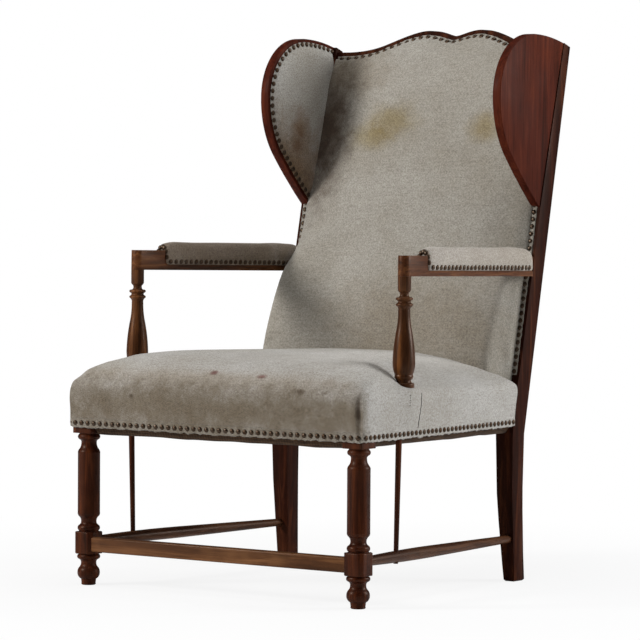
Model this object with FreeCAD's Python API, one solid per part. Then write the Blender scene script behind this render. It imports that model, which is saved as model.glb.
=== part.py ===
"""Wingback armchair with a turned beech frame, sprung seat and nailed fabric covers.

Millimetres. +X is the sitter's left seen from the front as the viewer's right, the chair faces -Y and
+Z is up. The origin is on the floor under the middle of the chair. Depths are first measured back from
the axis of the front legs, and every piece is then moved forward by LEG_AXIS_BACK.
"""
import FreeCAD, Part
import math
import os

from FreeCAD import Vector

os.makedirs("parts", exist_ok=True)

# Main sizes
LEG_AXIS_BACK = 393.8
LEG_X = 333.0
BLOCK = 46.0
HALF_BLOCK = BLOCK / 2
LOWER_BLOCK = (63.0, 107.0)
UPPER_BLOCK_FROM = 305.0
RAIL_LOW = 320.0
RAIL_TOP = 392.0
RAIL_THICK = 25.0
TENON = 18.0
SPRING_TOP = 422.0

# Rear legs, one sawn piece each from the floor to the top of the back
STILE_OUT = 304.0
STILE_TOP_Z = 1096.0
STILE_BEND_Z = 368.0
STILE_REAR_AT_BEND = 623.0
STILE_RAKE = 0.2131
STILE_DEPTH = 38.0
STILE_TOP_DEPTH = 24.0
STILE_TAPER_FROM_Z = 760.0
STILE_WIDTH_LOW = 43.0
STILE_WIDTH_TOP = 28.0
FOOT_OUT = 300.5
FOOT_IN = 274.8

# Back
BOW = 35.0
BOW_FROM_Z = 360.0
BOW_FULL_Z = 1105.0
CREST_THICK = 22.0
CREST_SET_BACK = 5.0
CREST_LOW_Z = 1030.0
CREST_HALF = 278.0
WING_OUT = 302.0
WING_THICK = 19.0
WING_TIP_Z = 760.0
WING_PAD_THICK = 14.0

# Arms
ARM_POST_X = 331.0
ARM_POST_Y = 149.0
ARM_UNDER_Z = 629.0
ARM_DEEP = 40.0
ARM_WIDE = 26.0
ARM_DROP = 9.0
ARM_STRIP = 11.0
ARM_PAD_FROM = 70.0
ARM_REAR_Z = 645.0

# Lower rails and rods
FRONT_STRETCHER_Z = (68.0, 98.0)
SIDE_STRETCHER_Z = 88.0
ROD_Y = 132.5


def stile_rear(z):
    """Depth of the rear face of the raked part of the rear leg."""
    return STILE_REAR_AT_BEND + STILE_RAKE * (z - STILE_BEND_Z)


def stile_front(z):
    """Depth of the front face of the raked part, which thins towards the top."""
    run = max(0.0, z - STILE_TAPER_FROM_Z) / (STILE_TOP_Z - STILE_TAPER_FROM_Z)
    return stile_rear(z) - STILE_DEPTH + run * (STILE_DEPTH - STILE_TOP_DEPTH)


def bow(z):
    """How far the middle of the back stands behind its sides at a height."""
    return BOW * max(0.0, z - BOW_FROM_Z) / (BOW_FULL_Z - BOW_FROM_Z)


def trace(start, steps, place):
    """Wire from a start point through steps: (end,) is a line, (via, end) an arc."""
    edges = []
    here = place(*start)
    for step in steps:
        end = place(*step[-1])
        if len(step) == 1:
            edges.append(Part.makeLine(here, end))
        else:
            edges.append(Part.Arc(here, place(*step[0]), end).toShape())
        here = end
    return Part.Wire(edges)


def in_xy(z):
    return lambda a, b: Vector(a, b, z)


def in_xz(y):
    return lambda a, b: Vector(a, y, b)


def in_yz(x):
    return lambda a, b: Vector(x, a, b)


def prism(wire, along):
    return Part.Face(wire).extrude(along)


def box(x, y, z):
    """Box from three (low, high) pairs."""
    return Part.makeBox(x[1] - x[0], y[1] - y[0], z[1] - z[0], Vector(x[0], y[0], z[0]))


def stations(profile, per_arc):
    """Radius and height of each turning station along a traced profile."""
    wire = trace(profile[0], profile[1:], in_xz(0.0))
    found = [profile[0]]
    for edge in wire.OrderedEdges:
        count = per_arc if edge.Curve.TypeId == "Part::GeomCircle" else 2
        found += [(point.x, point.z) for point in edge.discretize(count)[1:]]
    return found


def turned(profile, sides=18, per_arc=4):
    """Turned piece about +Z, as a many-sided solid between the stations of its profile."""
    rings = []
    for radius, z in stations(profile, per_arc):
        fair = radius / math.sqrt(math.sin(2 * math.pi / sides) / (2 * math.pi / sides))
        angles = [2 * math.pi * (number + 0.5) / sides for number in range(sides)]
        rings.append([Vector(fair * math.cos(a), fair * math.sin(a), z) for a in angles])
    faces = [Part.Face(Part.makePolygon(ring + [ring[0]])) for ring in (rings[0], rings[-1])]
    for low, high in zip(rings, rings[1:]):
        for one in range(sides):
            two = (one + 1) % sides
            corners = [low[one], low[two], high[two], high[one], low[one]]
            faces.append(Part.Face(Part.makePolygon(corners)))
    shell = Part.Shell(faces)
    shell.sewShape()
    return Part.Solid(Part.Shell(shell.Faces))


def laid(solid, start, along):
    """Moves a piece built up the Z axis so that it starts at a point and runs in a direction."""
    solid.Placement = FreeCAD.Placement(start, FreeCAD.Rotation(Vector(0, 0, 1), along))
    return solid


def skinned(slices, counts):
    """Solid over a stack of slices made of the same steps, each step cut into a count of points."""
    rings = []
    for wire in slices:
        ring = []
        for edge, count in zip(wire.OrderedEdges, counts):
            ring += edge.discretize(count)[:-1]
        rings.append(ring)
    faces = [Part.Face(Part.makePolygon(ring + [ring[0]])) for ring in (rings[0], rings[-1])]
    for low, high in zip(rings, rings[1:]):
        for one in range(len(low)):
            two = (one + 1) % len(low)
            for corners in ((low[one], low[two], high[two]), (low[one], high[two], high[one])):
                faces.append(Part.Face(Part.makePolygon([*corners, corners[0]])))
    shell = Part.Shell(faces)
    shell.sewShape()
    solid = Part.Solid(Part.Shell(shell.Faces))
    solid.fix(0.001, 0.001, 0.001)
    return solid


def mirrored(shape):
    return shape.mirror(Vector(0, 0, 0), Vector(1, 0, 0))


def group(shapes):
    return Part.makeCompound(shapes)


def save(name, shape):
    shape.translate(Vector(0, -LEG_AXIS_BACK, 0))
    shape.exportStep(os.path.join("parts", name + ".step"))


def save_pair(name, right):
    """A piece and its mirror image, named from the sitter's side."""
    left = mirrored(right)
    save(name + "_left", right)
    save(name + "_right", left)


# Front legs: turned between a chamfered block for the stretchers and a square block for the rails
def front_leg():
    lower_low, lower_high = LOWER_BLOCK
    foot = turned([
        (12.0, 0.0),
        ((13.8, 0.8), (14.2, 4.0)),
        ((15.2, 12.0),),
        ((20.8, 17.5), (22.5, 26.0)),
        ((21.4, 31.5), (18.4, 36.0)),
        ((16.0, 40.2), (15.5, 45.0)),
        ((16.6, 49.5), (19.8, 52.0)),
        ((23.3, 57.0), (19.8, 62.0)),
        ((19.8, lower_low + 1.0),),
    ], 20, 3)
    column = turned([
        (19.8, lower_high - 1.0),
        ((19.8, 109.0),),
        ((22.6, 114.6), (19.8, 120.0)),
        ((16.4, 123.4), (15.5, 128.0)),
        ((16.6, 133.6), (20.0, 138.0)),
        ((21.9, 141.0), (22.3, 146.0)),
        ((22.3, 264.0),),
        ((21.9, 268.6), (20.0, 272.0)),
        ((16.6, 278.0), (15.5, 285.0)),
        ((16.3, 289.6), (19.6, 292.2)),
        ((22.5, 297.4), (19.6, 302.6)),
        ((19.6, UPPER_BLOCK_FROM + 1.0),),
    ], 20, 3)
    for part in (foot, column):
        part.translate(Vector(LEG_X, 0, 0))
    side = (LEG_X - HALF_BLOCK, LEG_X + HALF_BLOCK)
    depth = (-HALF_BLOCK, HALF_BLOCK)
    lower = box(side, depth, LOWER_BLOCK)
    upright = [edge for edge in lower.Edges if abs(edge.tangentAt(edge.FirstParameter).z) > 0.9]
    lower = lower.makeChamfer(8.0, upright)
    rims = [edge for edge in lower.Edges if abs(edge.tangentAt(edge.FirstParameter).z) < 0.1]
    lower = lower.makeChamfer(1.6, rims)
    upper = box(side, depth, (UPPER_BLOCK_FROM, RAIL_TOP))
    return foot.fuse([lower, column, upper]).removeSplitter()


# Rear legs: splayed below the seat, raked above it, wide at the seat and slimmer at both ends
def rear_leg():
    low_front = [(587.5, 0.0), (580.5, 85.0), (573.0, 180.0), (570.0, 300.0)]
    low_rear = [(624.5, 0.0), (616.5, 90.0), (611.5, 190.0), (612.0, 300.0)]
    bend_front = ((stile_front(STILE_BEND_Z) - 3.5, STILE_BEND_Z), (stile_front(440.0), 440.0))
    bend_rear = ((STILE_REAR_AT_BEND + 2.0, STILE_BEND_Z), (stile_rear(440.0), 440.0))
    worn = 3.0
    profile = trace(
        (low_front[0][0], worn),
        [
            (low_front[1], low_front[2]),
            (low_front[3],),
            bend_front,
            ((stile_front(STILE_TAPER_FROM_Z), STILE_TAPER_FROM_Z),),
            ((stile_front(STILE_TOP_Z), STILE_TOP_Z + 2.0),),
            ((stile_rear(STILE_TOP_Z) - 2.0, STILE_TOP_Z - 6.0),),
            ((stile_rear(440.0), 440.0),),
            (bend_rear[0], low_rear[3]),
            (low_rear[2],),
            (low_rear[1], (low_rear[0][0], worn)),
            ((low_rear[0][0] - worn, 0.0),),
            ((low_front[0][0] + worn, 0.0),),
            ((low_front[0][0], worn),),
        ],
        in_yz(STILE_OUT - 60.0),
    )
    blank = prism(profile, Vector(80.0, 0, 0))
    plan = trace(
        (FOOT_OUT - worn, 0.0),
        [
            ((FOOT_OUT, worn),),
            ((303.6, 180.0), (306.0, 300.0)),
            ((305.6, 345.0), (STILE_OUT, 400.0)),
            ((STILE_OUT, STILE_TOP_Z + 20.0),),
            ((STILE_OUT - STILE_WIDTH_TOP, STILE_TOP_Z + 20.0),),
            ((STILE_OUT - STILE_WIDTH_LOW + 2.0, 440.0),),
            ((265.0, 330.0),),
            ((266.0, 180.0), (FOOT_IN, worn)),
            ((FOOT_IN + worn, 0.0),),
            ((FOOT_OUT - worn, 0.0),),
        ],
        in_xz(500.0),
    )
    return blank.common(prism(plan, Vector(0, 400.0, 0)))


# Lower rails: flat front stretcher, slim swelled side stretchers and the rods that pass through them
def front_stretcher():
    low, high = FRONT_STRETCHER_Z
    half = LEG_X - HALF_BLOCK + TENON
    section = trace(
        (-17.0, low + 2.0),
        [
            ((-17.0, high - 4.0),),
            ((-15.8, high - 1.2), (-13.0, high)),
            ((-1.0, high),),
            ((1.0, high - 2.0),),
            ((1.0, low),),
            ((-15.0, low),),
            ((-17.0, low + 2.0),),
        ],
        in_yz(-half),
    )
    return prism(section, Vector(2 * half, 0, 0))


def side_stretcher():
    start = Vector(LEG_X, HALF_BLOCK - TENON, SIDE_STRETCHER_Z)
    end = Vector(289.0, 594.0, SIDE_STRETCHER_Z - 1.0)
    run = end.sub(start)
    long = run.Length
    solid = turned([
        (9.0, 0.0),
        ((9.0, TENON),),
        ((11.9, long * 0.26), (11.4, long * 0.5)),
        ((9.4, long * 0.78), (7.6, long)),
    ], 14, 4)
    return laid(solid, start, run)


def support_rod():
    foot_z = 75.0
    head_z = RAIL_LOW + TENON
    foot = Vector(326.5, ROD_Y, foot_z)
    head = Vector(332.4, ROD_Y, head_z)
    run = head.sub(foot)
    return laid(turned([(4.6, 0.0), ((6.2, run.Length),)], 12), foot, run)


# Seat frame: four rails tenoned into the legs, glue blocks in the corners
def side_rail_line():
    """Outer line of a side rail in plan: its two ends across and in depth, tenons counted."""
    front = LEG_X + HALF_BLOCK
    rear = STILE_OUT + 1.0
    near = HALF_BLOCK - TENON
    far = 570.0 + TENON
    slope = (rear - front) / (570.0 - HALF_BLOCK)
    x_near = front + slope * (near - HALF_BLOCK)
    x_far = rear + slope * TENON
    return x_near, x_far, near, far


def seat_side_rail():
    x_near, x_far, near, far = side_rail_line()
    shoulder_near = HALF_BLOCK
    shoulder_far = 569.9
    slope = (x_far - x_near) / (far - near)

    def edge(y, inset):
        return (x_near + slope * (y - near) - inset, y)

    body = trace(
        edge(shoulder_near, 0.0),
        [
            (edge(shoulder_far, 0.0),),
            (edge(shoulder_far, RAIL_THICK),),
            (edge(shoulder_near, RAIL_THICK),),
            (edge(shoulder_near, 0.0),),
        ],
        in_xy(RAIL_LOW),
    )
    tenon = trace(
        edge(near, 7.0),
        [
            (edge(far, 7.0),),
            (edge(far, RAIL_THICK - 6.0),),
            (edge(near, RAIL_THICK - 6.0),),
            (edge(near, 7.0),),
        ],
        in_xy(RAIL_LOW + 12.0),
    )
    rail = prism(body, Vector(0, 0, RAIL_TOP - RAIL_LOW))
    return rail.fuse(prism(tenon, Vector(0, 0, RAIL_TOP - RAIL_LOW - 24.0))).removeSplitter()


def seat_front_rail():
    inner = LEG_X - HALF_BLOCK
    body = box((-inner, inner), (-HALF_BLOCK, -HALF_BLOCK + RAIL_THICK), (RAIL_LOW, RAIL_TOP))
    reach = inner + TENON
    tenon = box((-reach, reach), (-HALF_BLOCK + 7, -HALF_BLOCK + 16), (RAIL_LOW + 12, RAIL_TOP - 12))
    return body.fuse(tenon).removeSplitter()


def seat_rear_rail():
    inner = 262.0
    body = box((-inner, inner), (576.0, 576.0 + RAIL_THICK), (RAIL_LOW, RAIL_TOP))
    reach = inner + TENON
    tenon = box((-reach, reach), (590.0, 598.0), (RAIL_LOW + 12, RAIL_TOP - 12))
    return body.fuse(tenon).removeSplitter()


def corner_blocks():
    x_near, x_far, near, far = side_rail_line()
    slope = (x_far - x_near) / (far - near)

    def inner(y):
        return x_near + slope * (y - near) - RAIL_THICK

    leg_in = LEG_X - HALF_BLOCK
    rail_back = -HALF_BLOCK + RAIL_THICK
    front = trace(
        (leg_in - 72.0, rail_back),
        [
            ((leg_in, rail_back),),
            ((leg_in, HALF_BLOCK),),
            ((inner(HALF_BLOCK), HALF_BLOCK),),
            ((inner(84.0), 84.0),),
            ((leg_in - 72.0, rail_back),),
        ],
        in_xy(RAIL_LOW + 14.0),
    )
    rear = trace(
        (196.0, 576.0),
        [
            ((262.0, 576.0),),
            ((262.0, 569.0),),
            ((inner(569.0), 569.0),),
            ((inner(506.0), 506.0),),
            ((196.0, 576.0),),
        ],
        in_xy(RAIL_LOW + 14.0),
    )
    rise = Vector(0, 0, 44.0)
    blocks = [prism(front, rise), prism(rear, rise)]
    return blocks + [mirrored(block) for block in blocks]


def wood_screw(head, along, length):
    """Countersunk screw whose head lies at a point and whose shank runs along a direction."""
    solid = turned([(4.6, 0.0), ((2.3, 3.0),), ((2.3, length - 7.0),), ((0.4, length),)], 8)
    return laid(solid, head, along)


def corner_block_screws():
    """Two screws through each block, one into each rail."""
    z = RAIL_LOW + 36.0
    right = [
        wood_screw(Vector(264.0, 22.0, z), Vector(0, -1, 0), 36.0),
        wood_screw(Vector(296.0, 52.0, z), Vector(1, 0.1, 0), 40.0),
        wood_screw(Vector(232.0, 552.0, z), Vector(0, 1, 0), 40.0),
        wood_screw(Vector(262.0, 531.0, z), Vector(1, 0.1, 0), 38.0),
    ]
    return right + [mirrored(screw) for screw in right]


# Seat springing: woven straps under the rails with coil springs standing on them
def woven_strap(crossings, lift, low, high, wide, across, along_x):
    """Strap that passes over and under the straps it crosses."""
    thick = 1.4
    half = wide / 2
    points = [(low, 0.0)]
    for number, station in enumerate(crossings):
        level = lift if number % 2 == 0 else -lift
        points += [(station - half, level), (station + half, level)]
    points.append((high, 0.0))
    upper = [(s, z + thick) for s, z in reversed(points)]
    base_z = RAIL_LOW - thick - 0.4
    place = (
        (lambda s, z: Vector(s, across - half, base_z + z))
        if along_x
        else (lambda s, z: Vector(across - half, s, base_z + z))
    )
    loop = points + upper + [points[0]]
    wire = Part.makePolygon([place(*point) for point in loop])
    width = Vector(0, wide, 0) if along_x else Vector(wide, 0, 0)
    return prism(wire, width)


def seat_webbing():
    wide = 52.0
    columns = [-208.0, -104.0, 0.0, 104.0, 208.0]
    rows = [90.0, 190.0, 290.0, 390.0, 490.0]
    straps = []
    for number, x in enumerate(columns):
        lift = 0.8 if number % 2 == 0 else -0.8
        straps.append(woven_strap(rows, lift, -16.0, 596.0, wide, x, False))
    for number, y in enumerate(rows):
        lift = -0.8 if number % 2 == 0 else 0.8
        reach = 343.0 - 0.093 * y
        straps.append(woven_strap(columns, lift, -reach, reach, wide, y, True))
    return straps


def seat_springs():
    """Waisted springs standing on the straps, each as the plain outer form of its coil."""
    low = RAIL_LOW + 1.0
    middle = (low + SPRING_TOP) / 2
    springs = []
    for x in (-156.0, 0.0, 156.0):
        for y in (140.0, 290.0, 440.0):
            spring = turned([(41.0, low), ((27.0, middle), (41.0, SPRING_TOP))], 12, 5)
            spring.translate(Vector(x, y, 0))
            springs.append(spring)
    return springs


# Seat cushion: slices of the stuffed seat from the nailed lower edge up to the crown. Each slice gives
# its height, front depth, half width at front and rear, rear depth, and front and rear corner radius.
SEAT_SLICES = [
    (318.0, -26.0, 359.0, 306.5, 569.5, 8.0, 2.0),
    (352.0, -31.0, 362.0, 309.0, 569.5, 14.0, 4.0),
    (392.0, -35.0, 364.0, 311.0, 569.5, 22.0, 8.0),
    (412.0, -29.0, 358.0, 301.0, 569.5, 32.0, 18.0),
    (430.0, -12.0, 341.0, 262.0, 568.0, 48.0, 30.0),
    (446.0, 14.0, 316.0, 194.0, 562.0, 74.0, 46.0),
    (459.0, 55.0, 276.0, 112.0, 534.0, 100.0, 60.0),
    (467.0, 150.0, 170.0, 84.0, 400.0, 80.0, 50.0),
]


def rounded_slice(z, front, half_front, half_rear, rear, round_front, round_rear):
    """Outline of a tapering seat at one height, with rounded corners."""
    lean = math.atan2(half_front - half_rear, rear - front)
    across, back = -math.sin(lean), math.cos(lean)
    bend = 0.29
    front_in = (half_front - round_front, front)
    front_out = (half_front + across * round_front, front + back * round_front)
    rear_out = (half_rear - across * round_rear, rear - back * round_rear)
    rear_in = (half_rear - round_rear, rear)
    front_via = (half_front - bend * round_front, front + bend * round_front)
    rear_via = (half_rear - bend * round_rear, rear - bend * round_rear)

    def flip(point):
        return (-point[0], point[1])

    return trace(
        flip(front_in),
        [
            (front_in,),
            (front_via, front_out),
            (rear_out,),
            (rear_via, rear_in),
            (flip(rear_in),),
            (flip(rear_via), flip(rear_out)),
            (flip(front_out),),
            (flip(front_via), flip(front_in)),
        ],
        in_xy(z),
    )


def seat_form():
    return skinned([rounded_slice(*row) for row in SEAT_SLICES], (2, 6, 2, 5, 2, 5, 2, 6))


def seat_hollow():
    """Room of the wooden frame, springs and webbing inside the seat."""
    front = -HALF_BLOCK
    rear = 569.0
    outline = trace(
        (-LEG_X - HALF_BLOCK, front),
        [
            ((LEG_X + HALF_BLOCK, front),),
            ((LEG_X + HALF_BLOCK, HALF_BLOCK),),
            ((STILE_OUT + 1.2, rear),),
            ((STILE_OUT + 1.2, rear + 20.0),),
            ((-STILE_OUT - 1.2, rear + 20.0),),
            ((-STILE_OUT - 1.2, rear),),
            ((-LEG_X - HALF_BLOCK, HALF_BLOCK),),
            ((-LEG_X - HALF_BLOCK, front),),
        ],
        in_xy(300.0),
    )
    frame_room = prism(outline, Vector(0, 0, RAIL_TOP + 0.2 - 300.0))
    spring_room = box((-202.0, 202.0), (94.0, 486.0), (RAIL_TOP - 10.0, SPRING_TOP + 0.3))
    return frame_room.fuse(spring_room)


def bottoming_cloth():
    """Thin sagging cloth tacked under the rails."""

    def skin(lift):
        slices = []
        for z, inset in ((317.5, 0.0), (307.0, 10.0), (301.5, 90.0)):
            half_front, half_rear = 340.0 - inset, 292.0 - inset
            corners = [
                (-half_front, inset - 8.0),
                (half_front, inset - 8.0),
                (half_rear, 590.0 - inset),
                (-half_rear, 590.0 - inset),
            ]
            level = in_xy(z + lift)
            slices.append(Part.makePolygon([level(*corner) for corner in corners + corners[:1]]))
        return skinned(slices, (2, 2, 2, 2))

    return skin(0.0).cut(skin(1.5))


# Back: lower rail, bowed crest rail, straps, stuffed inside back and plain outside back
def back_lower_rail():
    low = 420.0
    high = 470.0
    half = 264.0
    front = 10.0
    section = trace(
        (stile_front(low) + front, low),
        [
            ((stile_front(high) + front, high),),
            ((stile_rear(high) - 3.0, high),),
            ((stile_rear(low) - 3.0, low),),
            ((stile_front(low) + front, low),),
        ],
        in_yz(-half),
    )
    return prism(section, Vector(2 * half, 0, 0))


CREST_HALF_OUTLINE = [(32.0, 1126.0), (66.0, 1131.5), (102.0, 1125.5), (140.0, 1112.5),
                      (177.0, 1098.5), (213.0, 1090.3), (250.0, 1087.3), (300.0, 1088.5)]


def crest_cutter(drop, low):
    """Everything above the shaped top line of the back, lowered by a drop, or below it."""
    half = [(x, z - drop) for x, z in CREST_HALF_OUTLINE]
    points = [(-x, z) for x, z in reversed(half)] + [(0.0, 1119.0 - drop)] + half
    curve = Part.BSplineCurve()
    curve.interpolate([Vector(x, 500.0, z) for x, z in points])
    left, right = points[0], points[-1]
    sides = Part.makePolygon([
        Vector(right[0], 500.0, right[1]),
        Vector(right[0], 500.0, low),
        Vector(left[0], 500.0, low),
        Vector(left[0], 500.0, left[1]),
    ])
    wire = Part.Wire([curve.toShape()] + sides.Edges)
    return prism(wire, Vector(0, 400.0, 0))


def crest_rail():
    """Sawn to a bow in plan, leaning with the rear legs, its top edge cut to a double curve."""
    half = CREST_HALF
    front = stile_front(CREST_LOW_Z) + CREST_SET_BACK
    hollow = bow(1080.0)
    plan = trace(
        (-half, front),
        [
            ((0.0, front + hollow), (half, front)),
            ((half, front + CREST_THICK),),
            ((0.0, front + CREST_THICK + hollow), (-half, front + CREST_THICK)),
            ((-half, front),),
        ],
        in_xy(CREST_LOW_Z),
    )
    rake = (stile_front(STILE_TOP_Z) - stile_front(CREST_LOW_Z)) / (STILE_TOP_Z - CREST_LOW_Z)
    blank = prism(plan, Vector(0, rake * 110.0, 110.0))
    return blank.common(crest_cutter(0.0, CREST_LOW_Z - 10.0))


def back_straps():
    """Upright straps from the lower rail to the crest rail, just behind the stuffing."""
    straps = []
    low, high = 424.0, 1060.0
    for x in (-200.0, -100.0, 0.0, 100.0, 200.0):
        ends = []
        for z in (low, high):
            corners = []
            for side, depth in ((-25, 0), (25, 0), (25, 1.6), (-25, 1.6)):
                at = x + side
                hollow = bow(z) * (1 - (at / 283.0) ** 2)
                corners.append(Vector(at, stile_front(z) + hollow + 2.2 + depth, z))
            ends.append(Part.makePolygon(corners + [corners[0]]))
        straps.append(skinned(ends, (2, 2, 2, 2)))
    return straps


# Each slice of the inside back: height, stuffing at the sides, stuffing in the middle, corner radius
BACK_SLICES = [
    (396.0, 72.0, 94.0, 40.0),
    (450.0, 84.0, 109.0, 44.0),
    (520.0, 77.0, 109.0, 42.0),
    (600.0, 57.0, 98.0, 34.0),
    (690.0, 26.0, 76.0, 20.0),
    (790.0, 14.0, 63.0, 10.0),
    (920.0, 10.0, 60.0, 8.0),
    (1050.0, 8.0, 48.0, 6.0),
    (1126.0, 4.0, 9.0, 3.0),
]


def back_form():
    slices = []
    half = 289.0
    for z, at_side, in_middle, corner in BACK_SLICES:
        rear = stile_front(z)
        front = rear - at_side
        bend = 0.3 * corner
        slices.append(trace(
            (-half, rear),
            [
                ((0.0, rear + bow(z)), (half, rear)),
                ((half, front + corner * 0.6),),
                ((half - bend, front + bend * 0.6), (half - corner, front)),
                ((0.0, rear + bow(z) - in_middle), (corner - half, front)),
                ((bend - half, front + bend * 0.6), (-half, front + corner * 0.6)),
                ((-half, rear),),
            ],
            in_xy(z),
        ))
    return skinned(slices, (9, 2, 4, 11, 4, 2))


def outside_back():
    """Plain cloth panel over the rear, from the seat rail up the rear legs to the crest rail."""
    half = 292.0
    thick = 2.4
    clear = 0.7
    behind_rail = stile_rear(440.0) + clear
    behind_crest = stile_front(1028.0) + CREST_SET_BACK + CREST_THICK + clear
    lowest = 612.0 + clear + (stile_rear(440.0) - 612.0) * (322.0 - 300.0) / (440.0 - 300.0)
    rows = [(322.0, lowest, 0.0)]
    for z in (440.0, 587.0, 734.0, 881.0, 1028.0):
        run = (z - 440.0) / (1028.0 - 440.0)
        rear = behind_rail + run * (behind_crest - behind_rail)
        rows.append((z, rear, bow(440.0) + run * (bow(1080.0) - bow(440.0))))
    rows.append((1080.0, behind_crest + stile_front(1080.0) - stile_front(1028.0), bow(1080.0)))
    slices = []
    for z, rear, middle in rows:
        slices.append(trace(
            (-half, rear),
            [
                ((0.0, rear + middle + 0.01), (half, rear)),
                ((half, rear + thick),),
                ((0.0, rear + middle + thick + 0.01), (-half, rear + thick)),
                ((-half, rear),),
            ],
            in_xy(z),
        ))
    return skinned(slices, (9, 2, 9, 2))


# Wings: shaped boards doweled to the front of the rear legs, thinly padded on the inside
def wing_outline(x):
    tip = (stile_front(WING_TIP_Z), WING_TIP_Z)
    top = (stile_front(STILE_TOP_Z), STILE_TOP_Z + 2.0)
    return trace(
        top,
        [
            ((708.0, 1108.0), (648.0, 1113.0)),
            ((558.2, 1075.8), (521.0, 986.0)),
            ((533.0, 918.0), (562.0, 868.0)),
            ((613.0, 812.5), tip),
            (top,),
        ],
        in_yz(x),
    )


def wing_board():
    return prism(wing_outline(WING_OUT - WING_THICK), Vector(WING_THICK, 0, 0))


def wing_pad():
    """Thin pad that rises from the nailed edge to a nearly flat inner face."""
    outline = wing_outline(WING_OUT - WING_THICK)
    rise = WING_PAD_THICK
    slices = []
    for inset, lift in ((6.0, 0.0), (10.0, rise * 0.62), (24.0, rise)):
        edge = outline.makeOffset2D(-inset)
        edge.translate(Vector(-lift, 0, 0))
        slices.append(edge)
    return Part.makeLoft(slices, True, True)


def wing_dowels():
    right = []
    for z in (830.0, 950.0, 1060.0):
        seat = Vector(WING_OUT - WING_THICK / 2, stile_front(z) - 18.0, z)
        right.append(laid(turned([(4.0, 0.0), ((4.0, 34.0),)], 10), seat, Vector(0, 1, 0)))
    return right + [mirrored(dowel) for dowel in right]


# Arms: baluster posts, flat rails with a round front end, stuffed pads
def arm_post():
    post = turned([
        (10.0, RAIL_LOW + 16.0),
        ((10.0, RAIL_TOP + 0.3),),
        ((20.0, RAIL_TOP + 0.3),),
        ((20.5, 419.5),),
        ((19.6, 422.6), (16.0, 423.6)),
        ((14.2, 427.0), (15.6, 430.4)),
        ((17.9, 433.6), (17.4, 439.0)),
        ((20.8, 450.0), (22.0, 466.0)),
        ((20.2, 492.0), (16.2, 520.0)),
        ((12.4, 545.0), (11.8, 563.0)),
        ((12.6, 568.6), (15.0, 571.4)),
        ((16.8, 574.2), (14.4, 577.0)),
        ((12.4, 579.8), (14.4, 582.6)),
        ((16.8, 586.0), (13.0, 588.6)),
        ((9.4, 590.6), (8.6, 593.6)),
        ((9.0, 597.0), (11.2, 599.2)),
        ((13.0, 602.4),),
        ((13.0, ARM_UNDER_Z),),
        ((9.0, ARM_UNDER_Z),),
        ((9.0, ARM_UNDER_Z + 24.0),),
    ], 18, 3)
    post.translate(Vector(ARM_POST_X, ARM_POST_Y, 0))
    return post


def arm_run():
    """Length and heading in plan of the arm's middle line, from its post to the rear leg."""
    inward = STILE_OUT - ARM_WIDE / 2 - ARM_POST_X
    back = stile_front(ARM_REAR_Z) - ARM_POST_Y
    return math.hypot(inward, back), math.atan2(inward, back)


def seat_arm(solid):
    """Places a piece built along +Y from the post's axis onto the real line of the arm."""
    long, heading = arm_run()
    solid.rotate(Vector(0, 0, ARM_UNDER_Z), Vector(1, 0, 0), -math.degrees(math.atan2(ARM_DROP, long)))
    solid.rotate(Vector(0, 0, 0), Vector(0, 0, 1), -math.degrees(heading))
    solid.translate(Vector(ARM_POST_X, ARM_POST_Y, 0))
    return solid


def arm_rail():
    long = arm_run()[0] + 6.0
    half = ARM_WIDE / 2
    slim = half - 1.2
    step = ARM_PAD_FROM - 4.0
    plan = trace(
        (-half, 0.0),
        [
            ((0.0, -half), (half, 0.0)),
            ((half, step),),
            ((slim, step),),
            ((slim, long),),
            ((-slim, long),),
            ((-slim, step),),
            ((-half, step),),
            ((-half, 0.0),),
        ],
        in_xy(ARM_UNDER_Z),
    )
    rail = prism(plan, Vector(0, 0, ARM_DEEP))
    strip = box((-half, half), (0.0, long), (ARM_UNDER_Z, ARM_UNDER_Z + ARM_STRIP - 1.0))
    return seat_arm(rail.fuse(strip).removeSplitter())


def arm_pad_form():
    """Stuffed pad over the arm, its ends drawn down, from slices across the arm."""
    long = arm_run()[0]
    skirt = ARM_UNDER_Z + ARM_STRIP
    slices = []
    for along, half, shoulder, crown in (
        (ARM_PAD_FROM, 14.6, 33.0, 4.0),
        (ARM_PAD_FROM + 8.0, 16.8, 36.0, 11.0),
        (ARM_PAD_FROM + 30.0, 18.2, 38.0, 13.5),
        (long * 0.5, 19.0, 38.5, 15.0),
        (long - 30.0, 18.2, 37.5, 13.5),
        (long - 8.0, 16.6, 34.0, 12.0),
    ):
        top = skirt + shoulder
        slices.append(trace(
            (-14.6, skirt),
            [
                ((14.6, skirt),),
                ((half + 1.2, skirt + shoulder * 0.45), (half, top - 4.0)),
                ((0.0, top - 4.0 + crown), (-half, top - 4.0)),
                ((-half - 1.2, skirt + shoulder * 0.45), (-14.6, skirt)),
            ],
            in_xz(along),
        ))
    return seat_arm(skinned(slices, (2, 4, 7, 4)))


def arm_screws():
    z = 648.0
    right = [wood_screw(Vector(STILE_OUT - 13.0, stile_rear(z) - 1.6, z), Vector(0.06, -1, 0), 66.0)]
    return right + [mirrored(screw) for screw in right]


# Putting the pieces together: what enters another piece is cut out of it
leg = front_leg()
stile = rear_leg()
stretch = side_stretcher()
rod = support_rod()
cross = front_stretcher()
side_rail = seat_side_rail()
front_rail = seat_front_rail()
rear_rail = seat_rear_rail()
post = arm_post()
arm = arm_rail()
pad = arm_pad_form()
wing = wing_board()
side_pad = wing_pad()
crest = crest_rail()
low_rail = back_lower_rail()
seat = seat_form()
back = back_form().common(crest_cutter(8.0, 380.0)).cut(seat)
cloth = bottoming_cloth()
dowels = group(wing_dowels())
arm_fixings = group(arm_screws())
block_fixings = group(corner_block_screws())
both_stiles = group([stile, mirrored(stile)])

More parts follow.
